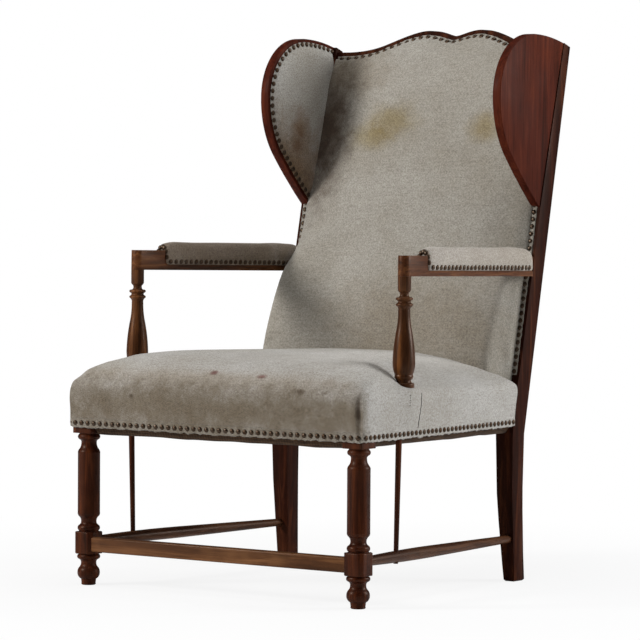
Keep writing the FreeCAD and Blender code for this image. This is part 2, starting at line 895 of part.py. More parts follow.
low_rail = low_rail.cut(both_stiles)
crest = crest.cut(both_stiles)
for piece in (wing, side_pad, arm, pad, stile):
    back = back.cut(piece).cut(mirrored(piece))
back = back.cut(crest)
for piece in (leg, stile, rod):
    cloth = cloth.cut(piece).cut(mirrored(piece))
seat_stuffing = seat.cut(seat_hollow()).cut(post).cut(mirrored(post))

side_rail = side_rail.cut(rod).cut(post)
leg = leg.cut(cross).cut(stretch).cut(front_rail).cut(side_rail)
stretch = stretch.cut(rod)
pad = pad.cut(arm).cut(stile)
arm = arm.cut(post).cut(stile).cut(arm_fixings)
stile = stile.cut(side_rail).cut(rear_rail).cut(stretch).cut(dowels).cut(arm_fixings)
wing = wing.cut(dowels)
side_rail = side_rail.cut(block_fixings)
front_rail = front_rail.cut(block_fixings)
rear_rail = rear_rail.cut(block_fixings)
blocks = [block.cut(block_fixings) for block in corner_blocks()]

save_pair("front_leg", leg)
save_pair("rear_leg", stile)
save("front_stretcher", cross)
save_pair("side_stretcher", stretch)
save_pair("support_rod", rod)
save("seat_front_rail", front_rail)
save("seat_rear_rail", rear_rail)
save_pair("seat_side_rail", side_rail)
save("corner_blocks", group(blocks))
save("corner_block_screws", block_fixings)
save("seat_webbing", group(seat_webbing()))
save("seat_springs", group(seat_springs()))
save("bottoming_cloth", cloth)
save("seat_cushion", seat_stuffing)
save("back_lower_rail", low_rail)
save("crest_rail", crest)
save("back_webbing", group(back_straps()))
save("back_cushion", back)
save("outside_back", outside_back())
save_pair("wing_board", wing)
save_pair("wing_pad", side_pad)
save("wing_dowels", dowels)
save_pair("arm_post", post)
save_pair("arm_rail", arm)
save_pair("arm_pad", pad)
save("arm_screws", arm_fixings)
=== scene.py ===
"""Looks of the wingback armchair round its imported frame, in the order in which it is put together."""
import math

import bmesh
import bpy
from mathutils import Euler, Matrix, Vector, noise
from mathutils.bvhtree import BVHTree

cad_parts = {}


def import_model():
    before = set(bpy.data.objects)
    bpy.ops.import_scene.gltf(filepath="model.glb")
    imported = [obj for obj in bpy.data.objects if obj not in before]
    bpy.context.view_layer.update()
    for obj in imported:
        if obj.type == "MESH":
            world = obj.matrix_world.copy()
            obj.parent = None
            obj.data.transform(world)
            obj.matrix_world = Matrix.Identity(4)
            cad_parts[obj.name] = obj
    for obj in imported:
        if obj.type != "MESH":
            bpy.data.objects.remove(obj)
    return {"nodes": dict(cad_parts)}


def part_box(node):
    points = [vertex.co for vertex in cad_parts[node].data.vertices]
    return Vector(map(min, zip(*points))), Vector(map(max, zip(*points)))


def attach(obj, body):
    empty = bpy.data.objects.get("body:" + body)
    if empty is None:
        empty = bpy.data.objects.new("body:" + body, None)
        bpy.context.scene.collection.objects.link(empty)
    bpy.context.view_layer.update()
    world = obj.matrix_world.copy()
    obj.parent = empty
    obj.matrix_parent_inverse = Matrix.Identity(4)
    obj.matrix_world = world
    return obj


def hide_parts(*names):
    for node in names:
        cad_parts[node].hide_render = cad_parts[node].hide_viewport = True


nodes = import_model()["nodes"]
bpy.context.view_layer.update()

# Front legs: beech, turned between two square blocks and stained red-brown. The blocks take the
# stretchers and the seat rails, and the foot ends in a ball worn by the floor.
LEG_AXIS = (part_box("front_leg_left")[0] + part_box("front_leg_left")[1]) / 2
BLOCK_SIDE = 0.046
LOWER_BLOCK, UPPER_BLOCK = (0.063, 0.107), (0.305, 0.392)
FOOT_PROFILE = [
    (0.0120, 0.0000),
    ((0.0138, 0.0008), (0.0142, 0.0040)),
    ((0.0152, 0.0120),),
    ((0.0208, 0.0175), (0.0225, 0.0260)),
    ((0.0214, 0.0315), (0.0184, 0.0360)),
    ((0.0160, 0.0402), (0.0155, 0.0450)),
    ((0.0166, 0.0495), (0.0198, 0.0520)),
    ((0.0233, 0.0570), (0.0198, 0.0620)),
    ((0.0198, 0.0640),),
]
COLUMN_PROFILE = [
    (0.0198, 0.1060),
    ((0.0198, 0.1090),),
    ((0.0226, 0.1146), (0.0198, 0.1200)),
    ((0.0164, 0.1234), (0.0155, 0.1280)),
    ((0.0166, 0.1336), (0.0200, 0.1380)),
    ((0.0219, 0.1410), (0.0223, 0.1460)),
    ((0.0223, 0.2640),),
    ((0.0219, 0.2686), (0.0200, 0.2720)),
    ((0.0166, 0.2780), (0.0155, 0.2850)),
    ((0.0163, 0.2896), (0.0196, 0.2922)),
    ((0.0225, 0.2974), (0.0196, 0.3026)),
    ((0.0196, 0.3060),),
]


def arc_through(start, via, end, count):
    """Points after the start of the circle arc through three points of a plane."""
    (ax, ay), (bx, by), (cx, cy) = start, via, end
    d = 2 * (ax * (by - cy) + bx * (cy - ay) + cx * (ay - by))
    ux = ((ax**2 + ay**2) * (by - cy) + (bx**2 + by**2) * (cy - ay) + (cx**2 + cy**2) * (ay - by)) / d
    uy = ((ax**2 + ay**2) * (cx - bx) + (bx**2 + by**2) * (ax - cx) + (cx**2 + cy**2) * (bx - ax)) / d
    radius = math.hypot(ax - ux, ay - uy)
    first = math.atan2(ay - uy, ax - ux)
    sweep = (math.atan2(cy - uy, cx - ux) - first) % (2 * math.pi)
    middle = (math.atan2(by - uy, bx - ux) - first) % (2 * math.pi)
    if middle > sweep:
        sweep -= 2 * math.pi
    angles = [first + sweep * step / count for step in range(1, count + 1)]
    return [(ux + radius * math.cos(a), uy + radius * math.sin(a)) for a in angles]


def profile_points(profile, per_arc=7):
    """Points along a profile whose steps are (end,) for a line or (via, end) for an arc."""
    points = [profile[0]]
    for step in profile[1:]:
        if len(step) == 1:
            points.append(step[0])
        else:
            points += arc_through(points[-1], step[0], step[1], per_arc)
    return points


def turn_on_lathe(wood, profile, sides=48):
    """Spins a profile of radius and height about Z into a bmesh, closed at both ends."""
    line = [wood.verts.new((r, 0, z)) for r, z in profile_points(profile)]
    edges = [wood.edges.new(pair) for pair in zip(line, line[1:])]
    bmesh.ops.spin(wood, geom=line + edges, cent=(0, 0, 0), axis=(0, 0, 1), angle=2 * math.pi,
                   steps=sides, use_merge=True)
    rims = [e for e in wood.edges if e.is_boundary]
    bmesh.ops.holes_fill(wood, edges=rims, sides=sides)
    bmesh.ops.recalc_face_normals(wood, faces=wood.faces)


def add_block(wood, low, high, eased, corner):
    """Adds a box with eased edges, and upright corners chamfered if asked."""
    cube = bmesh.ops.create_cube(wood, size=1.0)["verts"]
    size, middle = Vector(high) - Vector(low), (Vector(high) + Vector(low)) / 2
    bmesh.ops.scale(wood, verts=cube, vec=size)
    bmesh.ops.translate(wood, verts=cube, vec=middle)
    if corner:
        upright = [e for e in {e for v in cube for e in v.link_edges}
                   if abs(e.verts[0].co.z - e.verts[1].co.z) > size.z * 0.9]
        cut = bmesh.ops.bevel(wood, geom=upright, offset=corner, segments=1, profile=0.5,
                              affect="EDGES", material=-1)
        cube = list({v for f in cut["faces"] for v in f.verts} | {v for v in cube if v.is_valid})
    edges = list({e for v in cube for e in v.link_edges if all(w in set(cube) for w in e.verts)})
    bmesh.ops.bevel(wood, geom=edges, offset=eased, segments=3, profile=0.5, affect="EDGES", material=-1,
                    clamp_overlap=True)


def finished(name, shape, material, smooth_angle=0.6):
    """Turns a bmesh into a piece of the chair, shaded smooth below an angle."""
    mesh = bpy.data.meshes.new(name)
    shape.to_mesh(mesh)
    shape.free()
    piece = bpy.data.objects.new(name, mesh)
    bpy.context.scene.collection.objects.link(piece)
    mesh.materials.append(material)
    mesh.shade_smooth()
    mesh.set_sharp_from_angle(angle=smooth_angle)
    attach(piece, "root")
    return piece


def put(socket, value):
    """Sets an input of a node to a value, or links it to the output of another node."""
    if isinstance(value, bpy.types.NodeSocket):
        socket.id_data.links.new(value, socket)
    else:
        socket.default_value = value


def node_maker(tree):
    """Returns a maker of nodes in a tree, from a kind, inputs in order, and named settings or inputs."""

    def make(kind, *inputs, **settings):
        node = tree.nodes.new("ShaderNode" + kind)
        for socket, value in zip(node.inputs, inputs):
            put(socket, value)
        for key, value in settings.items():
            if hasattr(node, key) and key not in node.inputs:
                setattr(node, key, value)
            else:
                put(node.inputs[key.replace("_", " ")], value)
        return node

    return make


def new_material(name):
    """A material with nodes, its shader, and the maker of its nodes."""
    material = bpy.data.materials.new(name)
    material.use_nodes = True
    return material, material.node_tree.nodes["Principled BSDF"], node_maker(material.node_tree)


def ramp(make, share, stops):
    """Colour at a share along (position, colour) stops."""
    node = make("ValToRGB", share)
    elements = node.color_ramp.elements
    while len(elements) < len(stops):
        elements.new(0.5)
    for element, (position, colour) in zip(elements, stops):
        element.position = position
        element.color = (*colour, 1.0)
    return node.outputs["Color"]


def mix(make, share, one, two, blend_type=None):
    """Mixes two numbers, or two colours in the way that is named."""
    if blend_type is None:
        node, first = make("Mix", share, data_type="FLOAT"), 2
    else:
        node, first = make("Mix", share, data_type="RGBA", blend_type=blend_type), 6
    put(node.inputs[first], one)
    put(node.inputs[first + 1], two)
    return node.outputs[0 if blend_type is None else 2]


def stretched(make, place, scale):
    """Object coordinates scaled along each axis."""
    return make("Mapping", Vector=place, Scale=scale).outputs["Vector"]


def grain_noise(make, place, scale, detail, rough, distortion=0.0):
    """Noise at a place, as a share."""
    return make("TexNoise", Vector=place, Scale=scale, Detail=detail, Roughness=rough,
                Distortion=distortion).outputs["Fac"]


def set_shader(shader, **inputs):
    """Sets or links inputs of a shader, each by its name."""
    for key, value in inputs.items():
        put(shader.inputs[key.replace("_", " ")], value)


def stained_wood(name, deep, middle, light, along="Z", gloss=0.38, wear=0.5, shine=0.22):
    """Satin stained beech: streaks along the grain, short pores, and rubbed paler patches."""
    material, shader, make = new_material(name)
    place = make("TexCoord").outputs["Object"]
    streaks = stretched(make, place, [1.6 if axis == along else 26.0 for axis in "XYZ"])
    grain = grain_noise(make, streaks, 2.2, 5.0, 0.62, 0.6)
    pores = grain_noise(make, stretched(make, place, [14.0 if axis == along else 420.0 for axis in "XYZ"]),
                        1.0, 2.0, 0.5)
    patches = grain_noise(make, place, 9.0, 3.0, 0.55)
    tone = ramp(make, grain, [(0.30, deep), (0.52, middle), (0.74, light)])
    worn = make("MapRange", patches, From_Min=0.52, From_Max=0.78, To_Min=0.0, To_Max=wear)
    rubbed = mix(make, worn.outputs["Result"], tone, (*light, 1.0), "MIX")
    pore_tone = ramp(make, pores, [(0.34, (0.45, 0.42, 0.40)), (0.46, (1.0, 1.0, 1.0))])
    dull = make("MapRange", patches, From_Min=0.3, From_Max=0.7, To_Min=gloss - 0.07, To_Max=gloss + 0.13)
    bump = make("Bump", Strength=0.18, Distance=0.0006, Height=pores)
    set_shader(shader, Base_Color=mix(make, 0.55, rubbed, pore_tone, "MULTIPLY"),
               Roughness=dull.outputs["Result"], Normal=bump.outputs["Normal"], Specular_IOR_Level=shine,
               Specular_Tint=(1.0, 0.66, 0.46, 1.0), Coat_Weight=shine * 0.16, Coat_Roughness=0.2)
    return material


LEG_WOOD = stained_wood("stained_beech_turned", (0.009, 0.0024, 0.0012), (0.041, 0.0088, 0.0034),
                        (0.130, 0.033, 0.0095), shine=0.15)
for name, side in (("front_leg_left", 1), ("front_leg_right", -1)):
    turning = bmesh.new()
    for profile in (FOOT_PROFILE, COLUMN_PROFILE):
        turn_on_lathe(turning, profile)
    half = BLOCK_SIDE / 2
    for (low, high), eased, corner in ((LOWER_BLOCK, 0.0016, 0.008), (UPPER_BLOCK, 0.0012, 0.0)):
        add_block(turning, (-half, -half, low), (half, half, high), eased, corner)
    bmesh.ops.translate(turning, verts=turning.verts, vec=(side * LEG_AXIS.x, LEG_AXIS.y, 0))
    leg = finished(name + "_turned", turning, LEG_WOOD)
    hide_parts(name)

# Rear legs: each sawn from one board from the floor to the top of the back, edges eased by hand
# and stained. The outer side faces the light, the inner side stays dark with old finish.
STILE_WOOD = stained_wood("stained_beech_sawn", (0.009, 0.0022, 0.0012), (0.028, 0.0065, 0.0032),
                          (0.090, 0.026, 0.010), gloss=0.45, shine=0.05)
SAME_POINT = 0.00002


def eased_copy(node, material, eased):
    """Copies a sawn node, joins its loose triangles and rounds its edges as sandpaper does."""
    shape = bmesh.new()
    shape.from_mesh(nodes[node].data)
    bmesh.ops.remove_doubles(shape, verts=shape.verts, dist=SAME_POINT)
    bmesh.ops.dissolve_limit(shape, angle_limit=0.03, verts=shape.verts, edges=shape.edges,
                             delimit={"NORMAL"})
    sharp = [e for e in shape.edges if len(e.link_faces) == 2 and e.calc_face_angle(0.0) > 0.5]
    bmesh.ops.bevel(shape, geom=sharp, offset=eased, offset_type="OFFSET", segments=3, profile=0.5,
                    affect="EDGES", material=-1, clamp_overlap=True)
    bmesh.ops.triangulate(shape, faces=[f for f in shape.faces if len(f.verts) > 4])
    piece = finished(node + "_eased", shape, material)
    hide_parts(node)


for name in ("rear_leg_left", "rear_leg_right"):
    eased_copy(name, STILE_WOOD, 0.0016)

# Front stretcher: a flat rail let into the lower blocks, its top front edge worn by feet and
# rubbed back to a paler honey brown.
RAIL_WOOD = stained_wood("stained_beech_rail", (0.022, 0.008, 0.0035), (0.095, 0.036, 0.013),
                         (0.24, 0.105, 0.040), along="X", wear=0.8)
eased_copy("front_stretcher", RAIL_WOOD, 0.0015)

# Side stretchers: slim swelled spindles from the front blocks to the rear legs, with a thin turned
# rod standing on each up to the seat rail under the arm post.
SPINDLE_WOOD = stained_wood("stained_beech_spindle", (0.015, 0.005, 0.0025), (0.055, 0.019, 0.008),
                            (0.14, 0.060, 0.027), along="Y")
STRETCHER_START = Vector((0.333, LEG_AXIS.y + 0.005, 0.088))
STRETCHER_END = Vector((0.289, LEG_AXIS.y + 0.594, 0.087))
ROD_FOOT = Vector((0.3265, LEG_AXIS.y + 0.1325, 0.075))
ROD_HEAD = Vector((0.3324, LEG_AXIS.y + 0.1325, 0.338))


def turned_between(name, start, end, profile, material, side, sides):
    """A turned piece from one point to another on the left, or its mirror image on the right."""
    wood = bmesh.new()
    turn_on_lathe(wood, profile, sides)
    lie = (end - start).to_track_quat("Z", "Y").to_matrix().to_4x4()
    bmesh.ops.transform(wood, matrix=Matrix.Translation(start) @ lie, verts=wood.verts)
    if side < 0:
        bmesh.ops.scale(wood, verts=wood.verts, vec=(-1, 1, 1))
        bmesh.ops.reverse_faces(wood, faces=wood.faces)
    piece = finished(name + "_turned", wood, material)
    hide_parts(name)


stretcher_long = (STRETCHER_END - STRETCHER_START).length
rod_long = (ROD_HEAD - ROD_FOOT).length
for side, word in ((1, "left"), (-1, "right")):
    turned_between("side_stretcher_" + word, STRETCHER_START, STRETCHER_END, [
        (0.0090, 0.0),
        ((0.0090, 0.018),),
        ((0.0119, stretcher_long * 0.26), (0.0114, stretcher_long * 0.5)),
        ((0.0094, stretcher_long * 0.78), (0.0076, stretcher_long)),
    ], SPINDLE_WOOD, side, 32)
    turned_between("support_rod_" + word, ROD_FOOT, ROD_HEAD, [(0.0046, 0.0), ((0.0062, rod_long),)],
                   LEG_WOOD, side, 20)

# Seat frame: plain beech rails, glue blocks and screws, all hidden under the stuffing. They keep
# their frame solids and get the raw wood and steel that they are made of.
RAW_WOOD = stained_wood("raw_beech", (0.30, 0.17, 0.08), (0.40, 0.25, 0.13), (0.50, 0.34, 0.19), along="X",
                        gloss=0.6, wear=0.3)


def paint(node, material):
    """Gives a node that keeps its frame solid the material of the real piece."""
    data = nodes[node].data
    data.materials.clear()
    data.materials.append(material)


def spun_steel(name, colour, roughness):
    """Wire steel with a faint drawn streak and a little rust bloom."""
    material, shader, make = new_material(name)
    bloom = grain_noise(make, make("TexCoord").outputs["Object"], 60.0, 4.0, 0.6)
    rust = tuple(c * f for c, f in zip(colour, (0.6, 0.45, 0.35)))
    set_shader(shader, Base_Color=ramp(make, bloom, [(0.35, colour), (0.75, rust)]), Metallic=1.0,
               Roughness=roughness)
    return material


STEEL = spun_steel("spring_steel", (0.42, 0.41, 0.40), 0.42)
for name in ("seat_front_rail", "seat_rear_rail", "seat_side_rail_left", "seat_side_rail_right",
             "corner_blocks", "back_lower_rail", "wing_dowels"):
    paint(name, RAW_WOOD)
for name in ("seat_springs", "corner_block_screws", "arm_screws"):
    paint(name, STEEL)

# Webbing: jute straps woven across the seat and run up the back, tacked to the rails.
# They keep their frame solids too.
BAND_SHARE = 3.1


def woven_cloth(name, dark, light, pitch, stains_and_shade=(), fuzz=0.35, streaks=0.25):
    """Coarse woven cloth: twill ribs, mixed thread tones, slubs, and soft darkened patches at places.

    Each patch is (place, reach, colour, strength) in the chair's own space. Some are real stains and some
    are painted shade.
    """
    material, shader, make = new_material(name)
    place = make("TexCoord").outputs["Object"]
    axes = make("SeparateXYZ", place).outputs

    def run_of(axis, lean):
        """A coordinate along a run of threads, which leans with the depth."""
        leaning = make("Math", axes["Y"], lean, operation="MULTIPLY").outputs[0]
        return make("Math", axis, leaning, operation="ADD").outputs[0]

    def rib(one, two, direction):
        """Threads of one direction, as bands a pitch apart."""
        joined = make("CombineXYZ", one, two).outputs[0]
        return make("TexWave", Vector=joined, wave_type="BANDS", bands_direction=direction,
                    Scale=1.0 / pitch / BAND_SHARE, Distortion=1.4, Detail=1.0,
                    Detail_Scale=0.6 / pitch / BAND_SHARE).outputs["Fac"]

    warp, weft = run_of(axes["X"], 0.94), run_of(axes["Z"], 0.62)
    weave = mix(make, 0.4, rib(warp, weft, "DIAGONAL"), rib(weft, warp, "X"))
    melange = grain_noise(make, place, 0.55 / pitch, 3.0, 0.75)
    slubs = grain_noise(make, stretched(make, place, (40.0, 40.0, 420.0)), 1.0, 2.0, 0.6)
    mixed = mix(make, streaks, mix(make, 0.62, weave, melange), slubs)
    tone = ramp(make, mixed, [(0.36, dark), (0.62, light)])
    soil = grain_noise(make, place, 6.5, 6.0, 0.6)
    soil_tone = ramp(make, soil, [(0.32, (0.80, 0.77, 0.72)), (0.62, (1.0, 1.0, 1.0))])
    colour = mix(make, 0.8, tone, soil_tone, "MULTIPLY")
    for centre, reach, tint, strength in stains_and_shade:
        moved = make("Mapping", Vector=place, Location=[-c / r for c, r in zip(centre, reach)],
                     Scale=[1.0 / r for r in reach])
        far = make("VectorMath", moved.outputs["Vector"], operation="LENGTH").outputs["Value"]
        edge = grain_noise(make, place, 34.0, 4.0, 0.65)
        ragged = make("Math", edge, 0.9, far, operation="MULTIPLY_ADD").outputs[0]
        fade = make("MapRange", ragged, interpolation_type="SMOOTHSTEP", From_Min=0.55, From_Max=1.6,
                    To_Min=strength, To_Max=0.0)
        colour = mix(make, fade.outputs["Result"], colour, (*tint, 1.0), "MULTIPLY")
    bump = make("Bump", Strength=0.7, Distance=0.0004, Height=mixed)
    set_shader(shader, Base_Color=colour, Roughness=0.92, Sheen_Weight=fuzz, Sheen_Roughness=0.5,
               Specular_IOR_Level=0.25, Normal=bump.outputs["Normal"])
    return material


WEBBING = woven_cloth("jute_webbing", (0.20, 0.14, 0.08), (0.42, 0.32, 0.19), 0.0022)
for name in ("seat_webbing", "back_webbing"):
    paint(name, WEBBING)

# Bottoming: jute cloth tacked under the rails, old enough to sag between its tacks.
# It is one sheet, a little narrower at the rear.
JUTE = woven_cloth("old_jute", (0.022, 0.011, 0.006), (0.10, 0.055, 0.028), 0.0034, fuzz=0.05, streaks=0.5)
SEAT_FRONT_Y = LEG_AXIS.y - 0.010
SEAT_REAR_Y = LEG_AXIS.y + 0.584
JUTE_HALF_FRONT, JUTE_HALF_REAR = 0.332, 0.296
RAIL_UNDER_Z = 0.3178


def seat_run(y):
    """Share of the way from the front to the rear of the seat frame."""
    return (y - SEAT_FRONT_Y) / (SEAT_REAR_Y - SEAT_FRONT_Y)


jute = bmesh.new()
bmesh.ops.create_grid(jute, x_segments=60, y_segments=54, size=1.0)
for vert in jute.verts:
    u, v = vert.co.x, (vert.co.y + 1) / 2
    y = SEAT_FRONT_Y + (SEAT_REAR_Y - SEAT_FRONT_Y) * v
    x = (JUTE_HALF_FRONT + (JUTE_HALF_REAR - JUTE_HALF_FRONT) * seat_run(y)) * u
    edge = min(1 - abs(u), 2 * v, 2 * (1 - v))
    sag = 0.0135 * (1 - (1 - min(1.0, edge * 24.0)) ** 2) + 0.004 * min(1.0, edge * 1.6)
    ripple = 0.0035 * noise.noise(Vector((x * 16, y * 16, 3.1))) * min(1.0, edge * 12)
    vert.co = (x, y, RAIL_UNDER_Z - sag + ripple)
bottoming = finished("bottoming_jute", jute, JUTE, 3.0)
thicker = bottoming.modifiers.new("cloth", "SOLIDIFY")
thicker.thickness = 0.0014
thicker.offset = -1.0
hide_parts("bottoming_cloth")

# Seat: horsehair over the springs under one wool and linen cover, pulled down over the rails and
# nailed to their lower edge. It crowns to the middle and is pulled down round the arm posts.
SEAT_STAINS_AND_SHADE = [
    # Darker front face: partly dirt, partly painted shade where less light reaches the front.
    ((0.0, -0.430, 0.360), (1.50, 0.040, 0.095), (0.40, 0.34, 0.260), 1.0),
    ((0.0, -0.408, 0.424), (0.52, 0.035, 0.030), (0.74, 0.68, 0.60), 0.8),
    ((-0.30, -0.36, 0.435), (0.11, 0.08, 0.03), (0.80, 0.76, 0.68), 0.7),
    ((-0.014, -0.395, 0.436), (0.012, 0.008, 0.010), (0.45, 0.20, 0.20), 0.9),
    ((0.105, -0.400, 0.433), (0.016, 0.008, 0.008), (0.50, 0.26, 0.25), 0.9),
    ((0.213, -0.421, 0.409), (0.018, 0.010, 0.007), (0.45, 0.38, 0.32), 0.8),
    ((0.272, -0.421, 0.409), (0.014, 0.010, 0.006), (0.45, 0.38, 0.32), 0.8),
    ((-0.200, -0.424, 0.385), (0.008, 0.010, 0.006), (0.40, 0.34, 0.28), 0.9),
    # Painted shade in the recess of the pleat at the front right corner.
    ((0.3510, -0.4230, 0.374), (0.0075, 0.0120, 0.050), (0.22, 0.18, 0.155), 1.0),
]


def cover_wool(name, dark, light, stains_and_shade=()):
    """The wool and linen of all the covers, which differ in tone and in their stains and painted shade."""
    return woven_cloth(name, dark, light, 0.0019, stains_and_shade, fuzz=0.12, streaks=0.12)


SEAT_WOOL = cover_wool("seat_wool", (0.20, 0.175, 0.145), (0.60, 0.585, 0.555), SEAT_STAINS_AND_SHADE)
BACK_STAINS_AND_SHADE = [
    ((-0.080, 0.285, 0.938), (0.085, 0.060, 0.048), (0.78, 0.68, 0.44), 0.9),
    ((-0.125, 0.280, 0.905), (0.075, 0.060, 0.036), (0.80, 0.71, 0.48), 0.9),
    ((0.158, 0.292, 0.927), (0.052, 0.060, 0.042), (0.76, 0.65, 0.42), 0.9),
    # Painted shadow of the left wing on the left edge of the back, darkest at its core.
    ((-0.258, 0.270, 0.920), (0.105, 0.200, 0.215), (0.17, 0.105, 0.065), 1.0),
    # Painted soft edge of the left wing's shadow across the top left of the back.
    ((-0.260, 0.300, 1.040), (0.200, 0.200, 0.075), (0.62, 0.54, 0.45), 0.8),
    # Painted shade over the lower middle of the back.
    ((0.080, 0.165, 0.500), (0.300, 0.150, 0.140), (0.74, 0.67, 0.58), 0.8),
]
BACK_WOOL = cover_wool("back_wool", (0.16, 0.14, 0.115), (0.49, 0.465, 0.41), BACK_STAINS_AND_SHADE)
WING_STAINS_AND_SHADE = [
    ((-0.278, 0.226, 0.917), (0.040, 0.040, 0.055), (0.60, 0.42, 0.28), 0.9),
    # Painted shade over the middle and lower part of the left wing pad.
    ((-0.278, 0.200, 0.800), (0.100, 0.220, 0.200), (0.52, 0.37, 0.26), 1.0),
]
WING_WOOL = cover_wool("wing_wool", (0.20, 0.18, 0.155), (0.64, 0.62, 0.575), WING_STAINS_AND_SHADE)
# Painted shade over the left arm pad, which lies in the shadow of the back.
LEFT_ARM_PAINTED_SHADE = [((-0.315, -0.02, 0.670), (0.120, 0.60, 0.120), (0.55, 0.47, 0.40), 0.95)]
ARM_WOOL = cover_wool("arm_wool", (0.20, 0.17, 0.14), (0.56, 0.51, 0.45), LEFT_ARM_PAINTED_SHADE)
SEAT_SLICES = [
    (0.3180, -0.026, 0.3590, 0.3065, 0.5695, 0.008, 0.002),
    (0.3520, -0.030, 0.3615, 0.3085, 0.5695, 0.014, 0.004),
    (0.3880, -0.033, 0.3625, 0.3090, 0.5695, 0.022, 0.008),
    (0.4060, -0.030, 0.3600, 0.3060, 0.5695, 0.028, 0.014),
    (0.4200, -0.026, 0.3590, 0.2940, 0.5690, 0.030, 0.024),
    (0.4340, -0.014, 0.3520, 0.2500, 0.5680, 0.040, 0.038),
    (0.4470, 0.007, 0.3310, 0.1900, 0.5620, 0.062, 0.055),
    (0.4570, 0.042, 0.2880, 0.1250, 0.5400, 0.090, 0.060),
    (0.4620, 0.085, 0.2400, 0.0950, 0.4700, 0.100, 0.060),
    (0.4645, 0.180, 0.1400, 0.0700, 0.3600, 0.060, 0.045),
]


def loft(shape, rings, folded=False):
    """Joins rings of points, all with the same count, into one closed skin.

    The ends are flat, or folded together where the rings run out along one side and back.
    """
    loops = []
    for ring in rings:
        verts = [shape.verts.new(point) for point in ring]
        loops.append([shape.edges.new((a, b)) for a, b in zip(verts, verts[1:] + verts[:1])])
    made = []
    for low, high in zip(loops, loops[1:]):
        made += bmesh.ops.bridge_loops(shape, edges=low + high)["faces"]
    for loop in (loops[0], loops[-1]):
        half = len(loop) // 2
        if folded:
            made += bmesh.ops.bridge_loops(shape, edges=loop[:half - 1] + loop[half:-1])["faces"]
        else:
            made += bmesh.ops.contextual_create(shape, geom=loop)["faces"]
    bmesh.ops.recalc_face_normals(shape, faces=made)


def rounded_ring(z, front, half_front, half_rear, rear, round_front, round_rear):
    """A tapering rounded outline at one height, in the space behind the front legs' axis."""
    corners = [
        ((half_front - round_front, front), (half_front, front + round_front), (half_front, front)),
        ((half_rear, rear - round_rear), (half_rear - round_rear, rear), (half_rear, rear)),
    ]
    right = []
    for start, end, tip in corners:
        for step in range(9):
            t = step / 8
            right.append(((1 - t) ** 2 * start[0] + 2 * t * (1 - t) * tip[0] + t * t * end[0],
                          (1 - t) ** 2 * start[1] + 2 * t * (1 - t) * tip[1] + t * t * end[1]))
    ring = right + [(-x, y) for x, y in reversed(right)]
    return [(x, y + LEG_AXIS.y, z) for x, y in ring]


def finer_skin(piece):
    """Halves the size of a cover's faces and rounds them."""
    finer = piece.modifiers.new("finer", "SUBSURF")
    finer.levels = finer.render_levels = 1
    bpy.ops.object.modifier_apply(modifier=finer.name)
    piece.data.shade_smooth()


def eased_skin(piece, times):
    """Evens out a cover as a hand does."""
    smooth = piece.modifiers.new("smooth", "SMOOTH")
    smooth.factor = 0.5
    smooth.iterations = times
    bpy.ops.object.modifier_apply(modifier=smooth.name)


def stuff(piece, voxel, held, cap):
    """Fills a piece as stuffing does: even mesh, cloth under pressure, movement capped, smoothed.

    held(point) is 1 where nails or wood hold the cover and 0 where it is free.
    """
    even = piece.modifiers.new("even", "REMESH")
    even.mode = "VOXEL"
    even.voxel_size = voxel
    bpy.ops.object.modifier_apply(modifier=even.name)
    rest = [v.co.copy() for v in piece.data.vertices]
    group = piece.vertex_groups.new(name="held")
    for vert in piece.data.vertices:
        weight = held(vert.co)
        if weight > 0:
            group.add([vert.index], weight, "REPLACE")
    cloth = piece.modifiers.new("cloth", "CLOTH")
    cloth.settings.quality = 4
    cloth.settings.use_pressure = True
    cloth.settings.uniform_pressure_force = 4.0
    cloth.settings.vertex_group_mass = group.name
    cloth.settings.effector_weights.gravity = 0
    for step in range(1, 21):
        bpy.context.scene.frame_set(step)
    ready = piece.evaluated_get(bpy.context.evaluated_depsgraph_get())
    filled = [v.co.copy() for v in ready.data.vertices]
    piece.modifiers.remove(cloth)
    bpy.context.scene.frame_set(1)
    for vert, start, end in zip(piece.data.vertices, rest, filled):
        move = end - start
        if move.length > cap:
            move *= cap / move.length
        vert.co = start + move
    piece.vertex_groups.clear()
    eased_skin(piece, 4)


def select_only(piece):
    """Makes a piece the one that the next modifiers are applied to."""
    for other in bpy.context.selected_objects:
        other.select_set(False)
    piece.select_set(True)
    bpy.context.view_layer.objects.active = piece


seat_shape = bmesh.new()
loft(seat_shape, [rounded_ring(*row) for row in SEAT_SLICES])
seat = finished("seat_cover", seat_shape, SEAT_WOOL, 3.0)
select_only(seat)


def seat_held(point):
    """1 at the nailed edge and at the rear, else 0."""
    return 1.0 if point.z < 0.335 or point.y > LEG_AXIS.y + 0.560 else 0.0


stuff(seat, 0.008, seat_held, 0.006)
SEAT_EDGE = rounded_ring(0.3265, -0.0275, 0.3594, 0.3068, 0.5765, 0.012, 0.003)
RAKE = 0.2131
POST_FOOT = Vector((0.331, LEG_AXIS.y + 0.149, 0.0))
POST_INWARD = Vector((-0.807, -0.591))
CORNER = Vector((0.3600, LEG_AXIS.y - 0.0280))
BULGE_Z = 0.392
FREE_ABOVE_Z = 0.418
NAILED_BELOW_Z = 0.330
PLEAT_LOW_Z = 0.322
CORNER_REACH = 0.055


